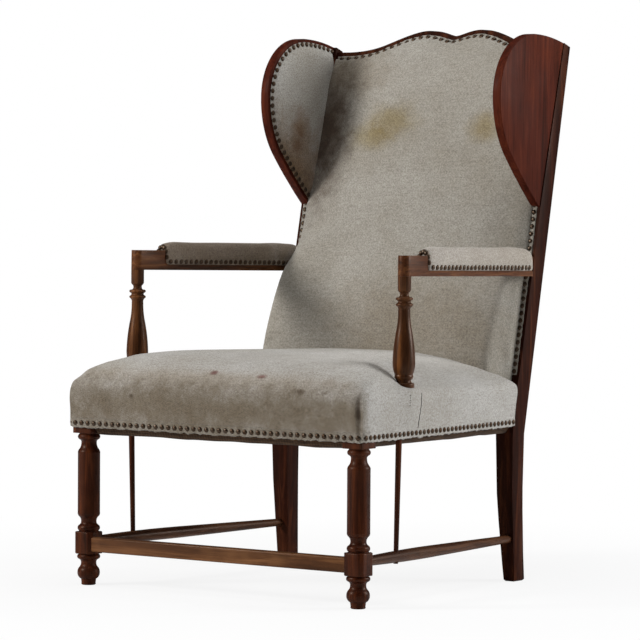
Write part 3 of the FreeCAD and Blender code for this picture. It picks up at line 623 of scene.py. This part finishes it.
def over_frame(point):
    """Moves a point of the seat cover out over the rails and blocks, and in round the post's foot."""
    side = math.copysign(1, point.x)
    out, y, z = abs(point.x), point.y, point.z
    swell = math.exp(-((z - BULGE_Z) / 0.022) ** 2)
    flank = 0.3595 - 0.0530 * seat_run(y) + 0.0022 * swell
    from_post = Vector((out - POST_FOOT.x, y - POST_FOOT.y))
    flank += max(0.0, POST_FOOT.x + 0.0235 - flank) * math.exp(-(from_post.y / 0.045) ** 2) * min(
        1.0, max(0.0, (z - NAILED_BELOW_Z) / 0.05))
    held = min(1.0, max(0.0, FREE_ABOVE_Z - z) / 0.014)
    to_leg = min(1.0, max(0.0, y - (SEAT_REAR_Y - 0.030)) / 0.014)
    if out > flank - 0.012:
        y += to_leg * (0.0080 + RAKE * max(0.0, z - NAILED_BELOW_Z))
    if flank - 0.030 < out < flank:
        out += (flank - out) * held
    front = LEG_AXIS.y - 0.0275 - 0.0045 * swell
    if front < y < front + 0.030:
        y += (front - y) * held
    round_off = 0.003 + 0.013 * min(1.0, max(0.0, z - 0.370) / 0.030)
    from_round = Vector((out - flank + round_off, y - front - round_off))
    if from_round.x > 0 > from_round.y and from_round.length > round_off:
        pull = 1 - round_off / from_round.length
        out, y = out - from_round.x * pull, y - from_round.y * pull
    inward = max(0.0, from_post.dot(POST_INWARD))
    foot_level = min(0.440, 0.4150 + 0.80 * inward)
    if z > 0.385:
        z += (foot_level - z) * math.exp(-(from_post.length / 0.034) ** 2)
    pulled = foot_level + 0.055 * (1 - math.exp(-(max(0.0, from_post.length - 0.021) / 0.045) ** 1.5))
    return Vector((side * out, y, min(z, pulled)))


def front_pleat(point):
    """How far a point of the seat cover is moved by the pleats folded into its front corners."""
    side = math.copysign(1, point.x)
    from_corner = Vector((abs(point.x), point.y)) - CORNER
    if from_corner.length > CORNER_REACH or not PLEAT_LOW_Z < point.z < FREE_ABOVE_Z:
        return Vector((0, 0, 0))
    along = from_corner.x - from_corner.y
    depth = min(1.0, (point.z - PLEAT_LOW_Z) / 0.025) * min(1.0, (FREE_ABOVE_Z - point.z) / 0.025)
    fold = 1.0 if side > 0 else 0.25
    roll = 0.0035 * math.exp(-((along + 0.0190) / 0.0055) ** 2)
    recess = 0.0026 * math.exp(-((along + 0.0085) / 0.0045) ** 2)
    return Vector((0, recess - roll, 0)) * fold * depth


for vert in seat.data.vertices:
    vert.co = over_frame(vert.co)
eased_skin(seat, 3)
finer_skin(seat)
for vert in seat.data.vertices:
    vert.co += front_pleat(vert.co)


def spaced(points, pitch, lead=0.5):
    """Places and directions at an even pitch along a run of points."""
    found, here = [], pitch * lead
    for start, end in zip(points, points[1:]):
        way = end - start
        while here <= way.length:
            found.append((start + way * (here / way.length), way.normalized()))
            here += pitch
        here -= way.length
    return found


def nailed_edge(cover, line, facing_at, width, ragged):
    """Adds to a cover the flat margin that is nailed down along a line of points."""
    rings = []
    for place, along in spaced(line, 0.003, 0.1):
        facing = facing_at(place)
        across = facing.cross(along).normalized()
        out = width / 2 + ragged * noise.noise(place * 130)
        back = width / 2 + ragged * noise.noise(place * 110 + Vector((7, 0, 0)))
        rings.append([place + across * a + facing * h for a, h in (
            (-out, 0.0001), (-out * 0.85, 0.0012), (-width * 0.2, 0.0017), (0.0, 0.0012),
            (width * 0.2, 0.0017), (back * 0.85, 0.0012), (back, 0.0001), (0.0, -0.0012))])
    margin = bmesh.new()
    loft(margin, rings)
    strip = bpy.data.meshes.new("margin")
    margin.to_mesh(strip)
    margin.clear()
    margin.from_mesh(cover.data)
    margin.from_mesh(strip)
    margin.to_mesh(cover.data)
    margin.free()
    bpy.data.meshes.remove(strip)
    cover.data.shade_smooth()


def surface_of(piece):
    """Tree of a finished cover's faces, to lay small pieces on it."""
    data = piece.data
    return BVHTree.FromPolygons([v.co for v in data.vertices], [f.vertices for f in data.polygons])


def pressed_on(skin, place, facing):
    """Where something pushed against a cover comes to rest, and which way it then faces."""
    hit, normal, index, far = skin.ray_cast(place + facing * 0.03, -facing)
    if hit is None:
        hit, normal, index, far = skin.find_nearest(place)
    return hit - facing * 0.0004, (facing * 1.5 + normal).normalized()


BRONZE = spun_steel("nail_bronze", (0.085, 0.062, 0.045), 0.36)
NAIL_HEAD = [(0.0054, -0.0010), ((0.0054, 0.0006),), ((0.0046, 0.0021),), ((0.0028, 0.0031),),
             ((0.0009, 0.0035),)]


def nail_heads(name, places):
    """Domed nail heads at (place, facing) pairs, joined in one piece, no two quite straight."""
    dome = bmesh.new()
    turn_on_lathe(dome, NAIL_HEAD, 10)
    one = bpy.data.meshes.new("dome")
    dome.to_mesh(one)
    dome.free()
    heads = bmesh.new()
    for place, facing in places:
        first = len(heads.verts)
        heads.from_mesh(one)
        heads.verts.ensure_lookup_table()
        lean = noise.noise_vector(place * 300) * 0.16
        turn = (facing + lean).to_track_quat("Z", "Y").to_matrix().to_4x4()
        bmesh.ops.transform(heads, matrix=Matrix.Translation(place) @ turn, verts=heads.verts[first:])
    bpy.data.meshes.remove(one)
    finished(name, heads, BRONZE, 1.2)


def seat_facing(place):
    """Outward level direction of the seat's edge at a place on it."""
    if place.y < CORNER.y + 0.010:
        lean = max(0.0, (abs(place.x) - 0.345) / 0.018)
        return Vector((math.copysign(lean, place.x), -1, 0)).normalized()
    return Vector((math.copysign(1, place.x), -0.088, 0)).normalized()


seat_line = [Vector(p) for p in SEAT_EDGE]
seat_line = [p for p in seat_line if p.y < LEG_AXIS.y + 0.5745]
middle = len(seat_line) // 2
right_half, left_half = seat_line[:middle], seat_line[middle:]
seat_line = right_half[::-1] + left_half[::-1]
nailed_edge(seat, seat_line, seat_facing, 0.019, 0.003)
SEAT_NAIL_PITCH = 0.0158
seat_nails = []
for place, along in spaced(seat_line, SEAT_NAIL_PITCH):
    seat_nails.append((place + seat_facing(place) * 0.0012, seat_facing(place)))
nail_heads("seat_nails", seat_nails)
# Dark thread for the stitches, also used as the painted shade inside the open seam.
DARK_THREAD_AND_SHADE = woven_cloth("dark_thread_and_painted_shade", (0.018, 0.013, 0.010), (0.070, 0.054, 0.042), 0.0015, fuzz=0.05)
seat_skin = surface_of(seat)
SIDE_FACING = Vector((1, -0.088, 0)).normalized()


def tear(name, line, width):
    """A narrow dark strip laid on a cover along points pressed against it. It is dark thread for a stitch,
    and painted shade inside a seam's opening.
    """
    rings = []
    for place, along in spaced(line, 0.0025, 0.1):
        wavy = place + Vector((0, 0.0011 * noise.noise(Vector((0, 0, place.z * 160))), 0))
        hit, facing = pressed_on(seat_skin, wavy, SIDE_FACING)
        half = width / 2 * (0.55 + 0.9 * abs(noise.noise(Vector((3, 1, place.z * 210)))))
        across = facing.cross(along).normalized()
        rings.append([hit + across * a + facing * h for a, h in (
            (-half * 1.9, 0.0003), (-half, 0.0011), (-half * 0.6, 0.0005), (half * 0.6, 0.0005),
            (half, 0.0010), (half * 1.9, 0.0003), (0.0, -0.0012))])
    shape = bmesh.new()
    loft(shape, rings)
    finished(name, shape, DARK_THREAD_AND_SHADE, 1.2)


# The open seam is a dark strip of painted shade; the stitches below it are dark thread.
tear("side_seam_tear", [Vector((0.36, -0.2125, 0.404)), Vector((0.36, -0.2160, 0.334))], 0.0016)
for number in range(5):
    top = 0.4020 - 0.0048 * number
    stitch = [Vector((0.36, -0.2560, top)), Vector((0.36, -0.2560, top - 0.0030))]
    tear(f"side_stitch_{number}", stitch, 0.0009)
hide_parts("seat_cushion")

# Crest rail: bowed and set between the rear legs, its top edge sawn to a double curve and
# rounded over.
eased_copy("crest_rail", STILE_WOOD, 0.003)

# Inside back: stuffed from the lumbar swell up to the crest and nailed to the fronts of the rear
# legs. The swell is fuller on the side of the sitter's right arm.
STILE_BEND = (0.368, LEG_AXIS.y + 0.623)
BACK_HALF = 0.289
BACK_LOW_Z = 0.396
BACK_TOP_GAP = 0.008
BACK_STEPS = 44
CREST_NAIL_PITCH, SIDE_NAIL_PITCH = 0.0175, 0.0150
SIDE_NAILS_Z = (0.420, 0.772)
CREST_LINE = [(0.0, 1.1190), (0.032, 1.1260), (0.066, 1.1315), (0.102, 1.1255), (0.140, 1.1125),
              (0.177, 1.0985), (0.213, 1.0903), (0.250, 1.0873), (0.300, 1.0885)]
BACK_SLICES = [
    (0.396, 0.074, 0.092, 0.026),
    (0.430, 0.085, 0.104, 0.028),
    (0.480, 0.087, 0.108, 0.028),
    (0.540, 0.077, 0.105, 0.027),
    (0.600, 0.060, 0.096, 0.026),
    (0.670, 0.031, 0.078, 0.022),
    (0.740, 0.018, 0.066, 0.016),
    (0.820, 0.013, 0.060, 0.012),
    (0.910, 0.011, 0.057, 0.010),
    (1.000, 0.010, 0.052, 0.008),
    (1.070, 0.009, 0.040, 0.006),
    (1.126, 0.008, 0.014, 0.005),
]


def stile_front_y(z):
    """Depth of the front face of the rear legs at a height on their raked part."""
    thinning = max(0.0, z - 0.760) / (1.096 - 0.760) * 0.014
    return STILE_BEND[1] + RAKE * (z - STILE_BEND[0]) - 0.038 + thinning


def between(rows, at):
    """Values of a table at a place along its first column, smoothly between its rows."""
    if at <= rows[0][0]:
        return rows[0][1:]
    for index, (low, high) in enumerate(zip(rows, rows[1:])):
        if at <= high[0]:
            t = (at - low[0]) / (high[0] - low[0])
            before = rows[max(0, index - 1)]
            after = rows[min(len(rows) - 1, index + 2)]
            found = []
            for b, lo, hi, a in zip(before[1:], low[1:], high[1:], after[1:]):
                found.append(0.5 * (2 * lo + (hi - b) * t + (2 * b - 5 * lo + 4 * hi - a) * t * t
                                    + (3 * lo - b - 3 * hi + a) * t ** 3))
            return found
    return rows[-1][1:]


def crest_height(x):
    """Height of the crest's top edge at a distance from the middle."""
    return between([(-CREST_LINE[1][0], CREST_LINE[1][1])] + CREST_LINE, abs(x))[0]


def back_bow(z):
    """How far the middle of the back stands behind its sides."""
    return 0.035 * max(0.0, z - 0.360) / 0.745


def back_rear(x, z):
    """Depth of the frame's front behind the inside back: flat at the sides, set back at the crest."""
    set_back = 0.0045 * min(1.0, max(0.0, (z - 1.020) / 0.045))
    return stile_front_y(z) + set_back + back_bow(z) * (1 - (x / BACK_HALF) ** 2)


def back_ring(share):
    """One closed ring of the inside back, at a share of the way from the seat to the crest."""
    across = [-BACK_HALF + 2 * BACK_HALF * step / BACK_STEPS for step in range(BACK_STEPS + 1)]
    ring = []
    for x in across:
        z = BACK_LOW_Z + share * (crest_height(x) - BACK_TOP_GAP - BACK_LOW_Z)
        side, middle, corner = between(BACK_SLICES, z)
        arch = 1 - (x / BACK_HALF) ** 2
        inset = max(0.0, (abs(x) - (BACK_HALF - corner)) / corner)
        stuffed = side * math.sqrt(max(0.0, 1 - inset ** 3)) + (middle - side) * arch
        below_crest = min(1.0, max(0.0, crest_height(x) - 0.014 - z) / 0.050)
        stuffed = 0.003 + (stuffed - 0.003) * math.sqrt(1 - (1 - below_crest) ** 2)
        ring.append(Vector((x, back_rear(x, z) - max(stuffed, 0.003), z)))
    for x in reversed(across):
        z = BACK_LOW_Z + share * (crest_height(x) - BACK_TOP_GAP - BACK_LOW_Z)
        ring.append(Vector((x, back_rear(x, z) + 0.0035, z)))
    return ring


back_shape = bmesh.new()
loft(back_shape, [back_ring(step / 50) for step in range(51)], folded=True)
back = finished("inside_back", back_shape, BACK_WOOL, 3.0)
select_only(back)


def back_held(point):
    """1 along the nailed sides and crest and on the rear, else 0."""
    near_side = abs(point.x) > 0.283 and point.y > stile_front_y(point.z) - 0.012
    behind = point.y > back_rear(point.x, point.z) - 0.002
    return 1.0 if near_side or behind or point.z > crest_height(point.x) - 0.020 else 0.0


stuff(back, 0.008, back_held, 0.004)


def eased_share(value, start, end):
    """0 before the start and 1 after the end, smoothly between them."""
    t = min(1.0, max(0.0, (value - start) / (end - start)))
    return t * t * (3 - 2 * t)


RIGHT_LUMBAR = 0.034
for vert in back.data.vertices:
    x, y, z = vert.co
    forward = min(1.0, max(0.0, back_rear(x, z) - y) / 0.050)
    vert.co.y -= RIGHT_LUMBAR * forward * eased_share(-x, 0.130, 0.270) * eased_share(-z, -0.760, -0.620)
finer_skin(back)
BACK_FACING = Vector((0, -1, RAKE)).normalized()
crest_line = []
for step in range(61):
    x = -0.272 + 0.544 * step / 60
    z = crest_height(x) - 0.0150
    crest_line.append(Vector((x, back_rear(x, z) - 0.0012, z)))
side_line = []
for step in range(31):
    z = SIDE_NAILS_Z[0] + (SIDE_NAILS_Z[1] - SIDE_NAILS_Z[0]) * step / 30
    side_line.append(Vector((0.2910, stile_front_y(z) - 0.0008, z)))
other_line = [Vector((-p.x, p.y, p.z)) for p in side_line]
for line in (crest_line, side_line, other_line):
    nailed_edge(back, line, lambda place: BACK_FACING, 0.0135, 0.0015)
back_skin = surface_of(back)
back_nails = []
for line, pitch in zip((crest_line, side_line, other_line),
                       (CREST_NAIL_PITCH, SIDE_NAIL_PITCH, SIDE_NAIL_PITCH)):
    back_nails += [pressed_on(back_skin, place, BACK_FACING) for place, along in spaced(line, pitch)]
nail_heads("back_nails", back_nails)
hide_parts("back_cushion")

# Outside back: the same wool, plain and unmarked, stretched over the rear and nailed to the back edges
# of the rear legs, the crest and the seat rail, so that it draws in a little between its nails.
REAR_WOOL = cover_wool("rear_wool", (0.17, 0.15, 0.125), (0.52, 0.495, 0.445))
outside = bmesh.new()
outside.from_mesh(nodes["outside_back"].data)
bmesh.ops.remove_doubles(outside, verts=outside.verts, dist=SAME_POINT)
for rounds in range(3):
    long_edges = [e for e in outside.edges if e.calc_length() > 0.020]
    bmesh.ops.subdivide_edges(outside, edges=long_edges, cuts=1, use_grid_fill=True)
bmesh.ops.triangulate(outside, faces=[f for f in outside.faces if len(f.verts) > 4])
for vert in outside.verts:
    inside_edge = max(0.0, min(0.292 - abs(vert.co.x), vert.co.z - 0.322, 1.080 - vert.co.z))
    slack = min(1.0, inside_edge / 0.012) * math.exp(-inside_edge / 0.050)
    vert.co.y += 0.0007 * slack * math.cos(math.tau * (vert.co.x + vert.co.z) / 0.040)
rear_cover = finished("outside_back_cover", outside, REAR_WOOL)
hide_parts("outside_back")

# Wings: boards sawn to a rounded ear and doweled to the fronts of the rear legs, their edges
# rounded over, with a thin nailed pad on the inner side.
WING_WOOD = stained_wood("stained_beech_wing", (0.026, 0.0052, 0.0028), (0.066, 0.0120, 0.0062),
                         (0.120, 0.026, 0.011), gloss=0.52, wear=0.35, shine=0.05)
WING_PROFILE = [
    (LEG_AXIS.y + 0.7544, 1.098),
    ((LEG_AXIS.y + 0.7080, 1.1080), (LEG_AXIS.y + 0.6480, 1.1130)),
    ((LEG_AXIS.y + 0.5582, 1.0758), (LEG_AXIS.y + 0.5210, 0.9860)),
    ((LEG_AXIS.y + 0.5330, 0.9180), (LEG_AXIS.y + 0.5620, 0.8680)),
    ((LEG_AXIS.y + 0.6130, 0.8125), (LEG_AXIS.y + 0.6685, 0.7600)),
]
WING_INNER_X = 0.283
WING_NAIL_INSET, WING_NAIL_PITCH = 0.012, 0.0155
WING_PAD = ((0.0060, -0.0008), (0.0062, 0.0012), (0.0100, 0.0022), (0.0150, 0.0026), (0.0210, 0.0062),
            (0.0290, 0.0090), (0.0380, 0.0104))


def drawn_in(outline, inset):
    """A wing's outline moved inwards by a distance, square to its own run, but not off the rear leg."""
    moved = []
    for before, here, after in zip(outline[-1:] + outline[:-1], outline, outline[1:] + outline[:1]):
        one, two = (here - before).normalized(), (after - here).normalized()
        if here is outline[0]:
            moved.append(here + one * (inset / one.dot(Vector((-two.y, two.x)))))
        elif here is outline[-1]:
            moved.append(here + two * (inset / two.dot(Vector((-one.y, one.x)))))
        else:
            mean = (one + two).normalized()
            moved.append(here + Vector((-mean.y, mean.x)) * (inset / mean.dot(two)))
    return moved


wing_outline = [Vector(p) for p in profile_points(WING_PROFILE, 14)]
for side, word in ((1, "left"), (-1, "right")):
    eased_copy("wing_board_" + word, WING_WOOD, 0.0035)
    pad = bmesh.new()
    loft(pad, [[(side * (WING_INNER_X - rise), y, z) for y, z in drawn_in(wing_outline, inset)]
               for inset, rise in WING_PAD])
    cover = finished("wing_cover_" + word, pad, WING_WOOL, 3.0)
    select_only(cover)
    finer_skin(cover)
    facing = Vector((-side, 0, 0))
    nail_line = [Vector((side * (WING_INNER_X - 0.0022), y, z))
                 for y, z in drawn_in(wing_outline, WING_NAIL_INSET)]
    places = [(place, facing) for place, along in spaced(nail_line, WING_NAIL_PITCH)]
    nail_heads("wing_nails_" + word, places)
    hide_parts("wing_pad_" + word)

# Arms: baluster posts turned in one piece with the round end of the arm, standing in the side
# rails; flat arms from the posts to the rear legs, each with a stuffed pad nailed along its sides.
POST_WOOD = stained_wood("stained_beech_post", (0.018, 0.0060, 0.0025), (0.070, 0.0240, 0.0080),
                         (0.23, 0.085, 0.024), wear=0.7)
POST_PROFILE = [
    (0.0100, 0.3360),
    ((0.0100, 0.3923),),
    ((0.0200, 0.3923),),
    ((0.0205, 0.4195),),
    ((0.0196, 0.4226), (0.0160, 0.4236)),
    ((0.0142, 0.4270), (0.0156, 0.4304)),
    ((0.0179, 0.4336), (0.0174, 0.4390)),
    ((0.0208, 0.4500), (0.0220, 0.4660)),
    ((0.0202, 0.4920), (0.0162, 0.5200)),
    ((0.0124, 0.5450), (0.0118, 0.5630)),
    ((0.0126, 0.5686), (0.0150, 0.5714)),
    ((0.0168, 0.5742), (0.0144, 0.5770)),
    ((0.0124, 0.5798), (0.0144, 0.5826)),
    ((0.0168, 0.5860), (0.0130, 0.5886)),
    ((0.0094, 0.5906), (0.0086, 0.5936)),
    ((0.0090, 0.5970), (0.0112, 0.5992)),
    ((0.0130, 0.6024),),
    ((0.0130, 0.6290),),
    ((0.0090, 0.6290),),
    ((0.0090, 0.6530),),
]
ARM_WOOD = stained_wood("stained_beech_arm", (0.021, 0.0065, 0.0030), (0.082, 0.0260, 0.0095),
                        (0.23, 0.090, 0.030), along="Y", wear=0.5)
ARM_UNDER_Z = 0.629
ARM_NAIL_Z = ARM_UNDER_Z + 0.0175
ARM_NAIL_PITCH, NAILS_ON_END = 0.0150, 7
ARM_REAR = Vector((0.291, stile_front_y(0.645), 0.0))
ARM_PAD_SLICES = [
    (0.070, 0.0146, 0.033, 0.004),
    (0.073, 0.0160, 0.036, 0.008),
    (0.080, 0.0170, 0.037, 0.011),
    (0.100, 0.0180, 0.038, 0.0132),
    (0.250, 0.0185, 0.038, 0.0145),
    (0.420, 0.0185, 0.038, 0.0145),
    (0.468, 0.0178, 0.037, 0.0130),
    (0.486, 0.0165, 0.034, 0.0110),
    (0.492, 0.0150, 0.028, 0.0080),
]
arm_way = ARM_REAR - POST_FOOT
arm_turn = -math.atan2(arm_way.x, arm_way.y)
arm_dip = -math.atan2(0.009, math.hypot(arm_way.x, arm_way.y))


def arm_place(side):
    """Where a piece built along +Y from the post's axis lies on its arm."""
    pivot = Matrix.Translation((0, 0, ARM_UNDER_Z))
    dip = pivot @ Matrix.Rotation(arm_dip, 4, "X") @ pivot.inverted()
    turn = Matrix.Rotation(arm_turn, 4, "Z")
    mirror = Matrix.Scale(-1, 4, (1, 0, 0)) if side < 0 else Matrix.Identity(4)
    return mirror @ Matrix.Translation(POST_FOOT) @ turn @ dip


def pad_ring(along, half, shoulder, crown):
    """Closed ring of the arm pad across the arm: straight sides, rounded shoulders, soft crown."""
    skirt = ARM_UNDER_Z + 0.011
    ring = []
    for step in range(28):
        angle = math.pi * step / 27
        reach = abs(math.cos(angle)) ** 0.55 * math.copysign(1, math.cos(angle))
        lift = math.sin(angle) ** 0.6
        ring.append((half * reach, along, skirt + 0.010 + (shoulder + crown - 0.014) * lift))
    return [(half, along, skirt)] + ring + [(-half, along, skirt)]


for side, word in ((1, "left"), (-1, "right")):
    post = bmesh.new()
    turn_on_lathe(post, POST_PROFILE)
    bmesh.ops.translate(post, verts=post.verts, vec=(side * POST_FOOT.x, POST_FOOT.y, 0))
    post_piece = finished("arm_post_" + word + "_turned", post, POST_WOOD)
    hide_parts("arm_post_" + word)
    eased_copy("arm_rail_" + word, ARM_WOOD, 0.0012)
    stuffing = bmesh.new()
    loft(stuffing, [pad_ring(*row) for row in ARM_PAD_SLICES])
    bmesh.ops.transform(stuffing, matrix=arm_place(side), verts=stuffing.verts)
    bmesh.ops.recalc_face_normals(stuffing, faces=stuffing.faces)
    arm_pad = finished("arm_cover_" + word, stuffing, ARM_WOOL, 3.0)
    select_only(arm_pad)
    stuff(arm_pad, 0.004, lambda p: 1.0 if p.z < 0.650 else 0.0, 0.002)
    finer_skin(arm_pad)
    skin = surface_of(arm_pad)
    down_side = ((0.016, 0.073), (0.020, 0.120), (0.020, 0.300), (0.019, 0.482))
    arm_nails = []
    for flank in (1, -1):
        line = [arm_place(side) @ Vector((flank * (half + 0.004), along, ARM_NAIL_Z))
                for half, along in down_side]
        outward = (arm_place(side).to_3x3() @ Vector((flank, 0, 0))).normalized()
        for place, along in spaced(line, ARM_NAIL_PITCH):
            arm_nails.append(pressed_on(skin, place, outward))
    for step in range(NAILS_ON_END):
        angle = math.pi * (step + 0.5) / NAILS_ON_END
        rise = ARM_NAIL_Z + 0.030 * math.sin(angle) ** 0.8
        place = Vector((0.0125 * math.cos(angle), 0.060, rise))
        facing = (arm_place(side).to_3x3() @ Vector((0, -1, 0))).normalized()
        arm_nails.append(pressed_on(skin, arm_place(side) @ place, facing))
    nail_heads("arm_nails_" + word, arm_nails)
    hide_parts("arm_pad_" + word)

# Studio: a pale floor under the chair, window light from the left front and from
# the right, a lamp above, and a weak even fill.
paper, paper_shader, make = new_material("studio_white")
set_shader(paper_shader, Base_Color=(0.86, 0.86, 0.86, 1), Roughness=0.9)
far_out = make("VectorMath", make("TexCoord").outputs["Object"], operation="LENGTH").outputs["Value"]
whiter = make("MapRange", far_out, interpolation_type="SMOOTHSTEP", From_Min=0.5, From_Max=1.5,
              To_Min=0.86, To_Max=1.0)
seen_paper = make("LightPath").outputs["Is Camera Ray"]
glow = make("Math", seen_paper, whiter.outputs["Result"], operation="MULTIPLY")
plain_white = make("Emission", Strength=1.0)
paper_mix = make("MixShader", glow.outputs[0], paper_shader.outputs[0], plain_white.outputs[0])
put(paper.node_tree.nodes["Material Output"].inputs["Surface"], paper_mix.outputs[0])
sweep = bmesh.new()
bmesh.ops.create_grid(sweep, x_segments=1, y_segments=1, size=14.0)
floor_mesh = bpy.data.meshes.new("studio_floor")
sweep.to_mesh(floor_mesh)
sweep.free()
floor = bpy.data.objects.new("studio_floor", floor_mesh)
bpy.context.scene.collection.objects.link(floor)
floor_mesh.materials.append(paper)

world = bpy.data.worlds.new("studio_air")
bpy.context.scene.world = world
world.use_nodes = True
for old in list(world.node_tree.nodes):
    world.node_tree.nodes.remove(old)
make = node_maker(world.node_tree)
lit = make("Background", (0.93, 0.96, 1.0, 1), 0.055)
seen = make("Background", (1, 1, 1, 1))
choose = make("MixShader", make("LightPath").outputs["Is Camera Ray"], lit.outputs[0], seen.outputs[0])
make("OutputWorld", Surface=choose.outputs[0])


def window_light(name, toward, distance, size, power, colour):
    """A soft lamp in a direction from the chair's middle, facing it."""
    lamp = bpy.data.lights.new(name, "AREA")
    lamp.shape = "RECTANGLE"
    lamp.size, lamp.size_y = size
    lamp.energy = power
    lamp.color = colour
    holder = bpy.data.objects.new(name, lamp)
    bpy.context.scene.collection.objects.link(holder)
    way = Vector(toward).normalized()
    holder.location = Vector((0, 0, 0.6)) + way * distance
    holder.rotation_euler = way.to_track_quat("Z", "Y").to_euler()


window_light("left_window", (-0.58, -0.74, 0.40), 5.0, (1.1, 1.5), 190, (1.0, 0.985, 0.97))
window_light("right_window", (0.80, 0.58, 0.30), 4.0, (1.8, 1.8), 124, (0.97, 0.985, 1.0))
window_light("ceiling", (0.10, -0.05, 1.0), 3.5, (2.5, 2.5), 66, (0.97, 0.985, 1.0))

# Camera: where the photograph was taken from, a long lens from the front right and just above
# the seat.
CAMERA_AZIMUTH, CAMERA_ELEVATION, CAMERA_ROLL = (math.radians(a) for a in (36.347, 2.151, 0.347))
CAMERA_PLACE = Vector((4.4460, LEG_AXIS.y - 5.7170, 0.8129))
FOCAL_PIXELS, FRAME_PIXELS = 3721.05, 640
camera_data = bpy.data.cameras.new("camera")
camera_data.sensor_width = 36.0
camera_data.lens = FOCAL_PIXELS / FRAME_PIXELS * camera_data.sensor_width
camera_data.clip_end = 100.0
camera = bpy.data.objects.new("camera", camera_data)
bpy.context.scene.collection.objects.link(camera)
backward = Vector((math.sin(CAMERA_AZIMUTH) * math.cos(CAMERA_ELEVATION),
                   -math.cos(CAMERA_AZIMUTH) * math.cos(CAMERA_ELEVATION), math.sin(CAMERA_ELEVATION)))
camera.rotation_mode = "QUATERNION"
camera.rotation_quaternion = (backward.to_track_quat("Z", "Y")
                              @ Euler((0, 0, CAMERA_ROLL)).to_quaternion())
camera.location = CAMERA_PLACE
bpy.context.scene.camera = camera
bpy.context.scene.view_settings.view_transform = "Standard"
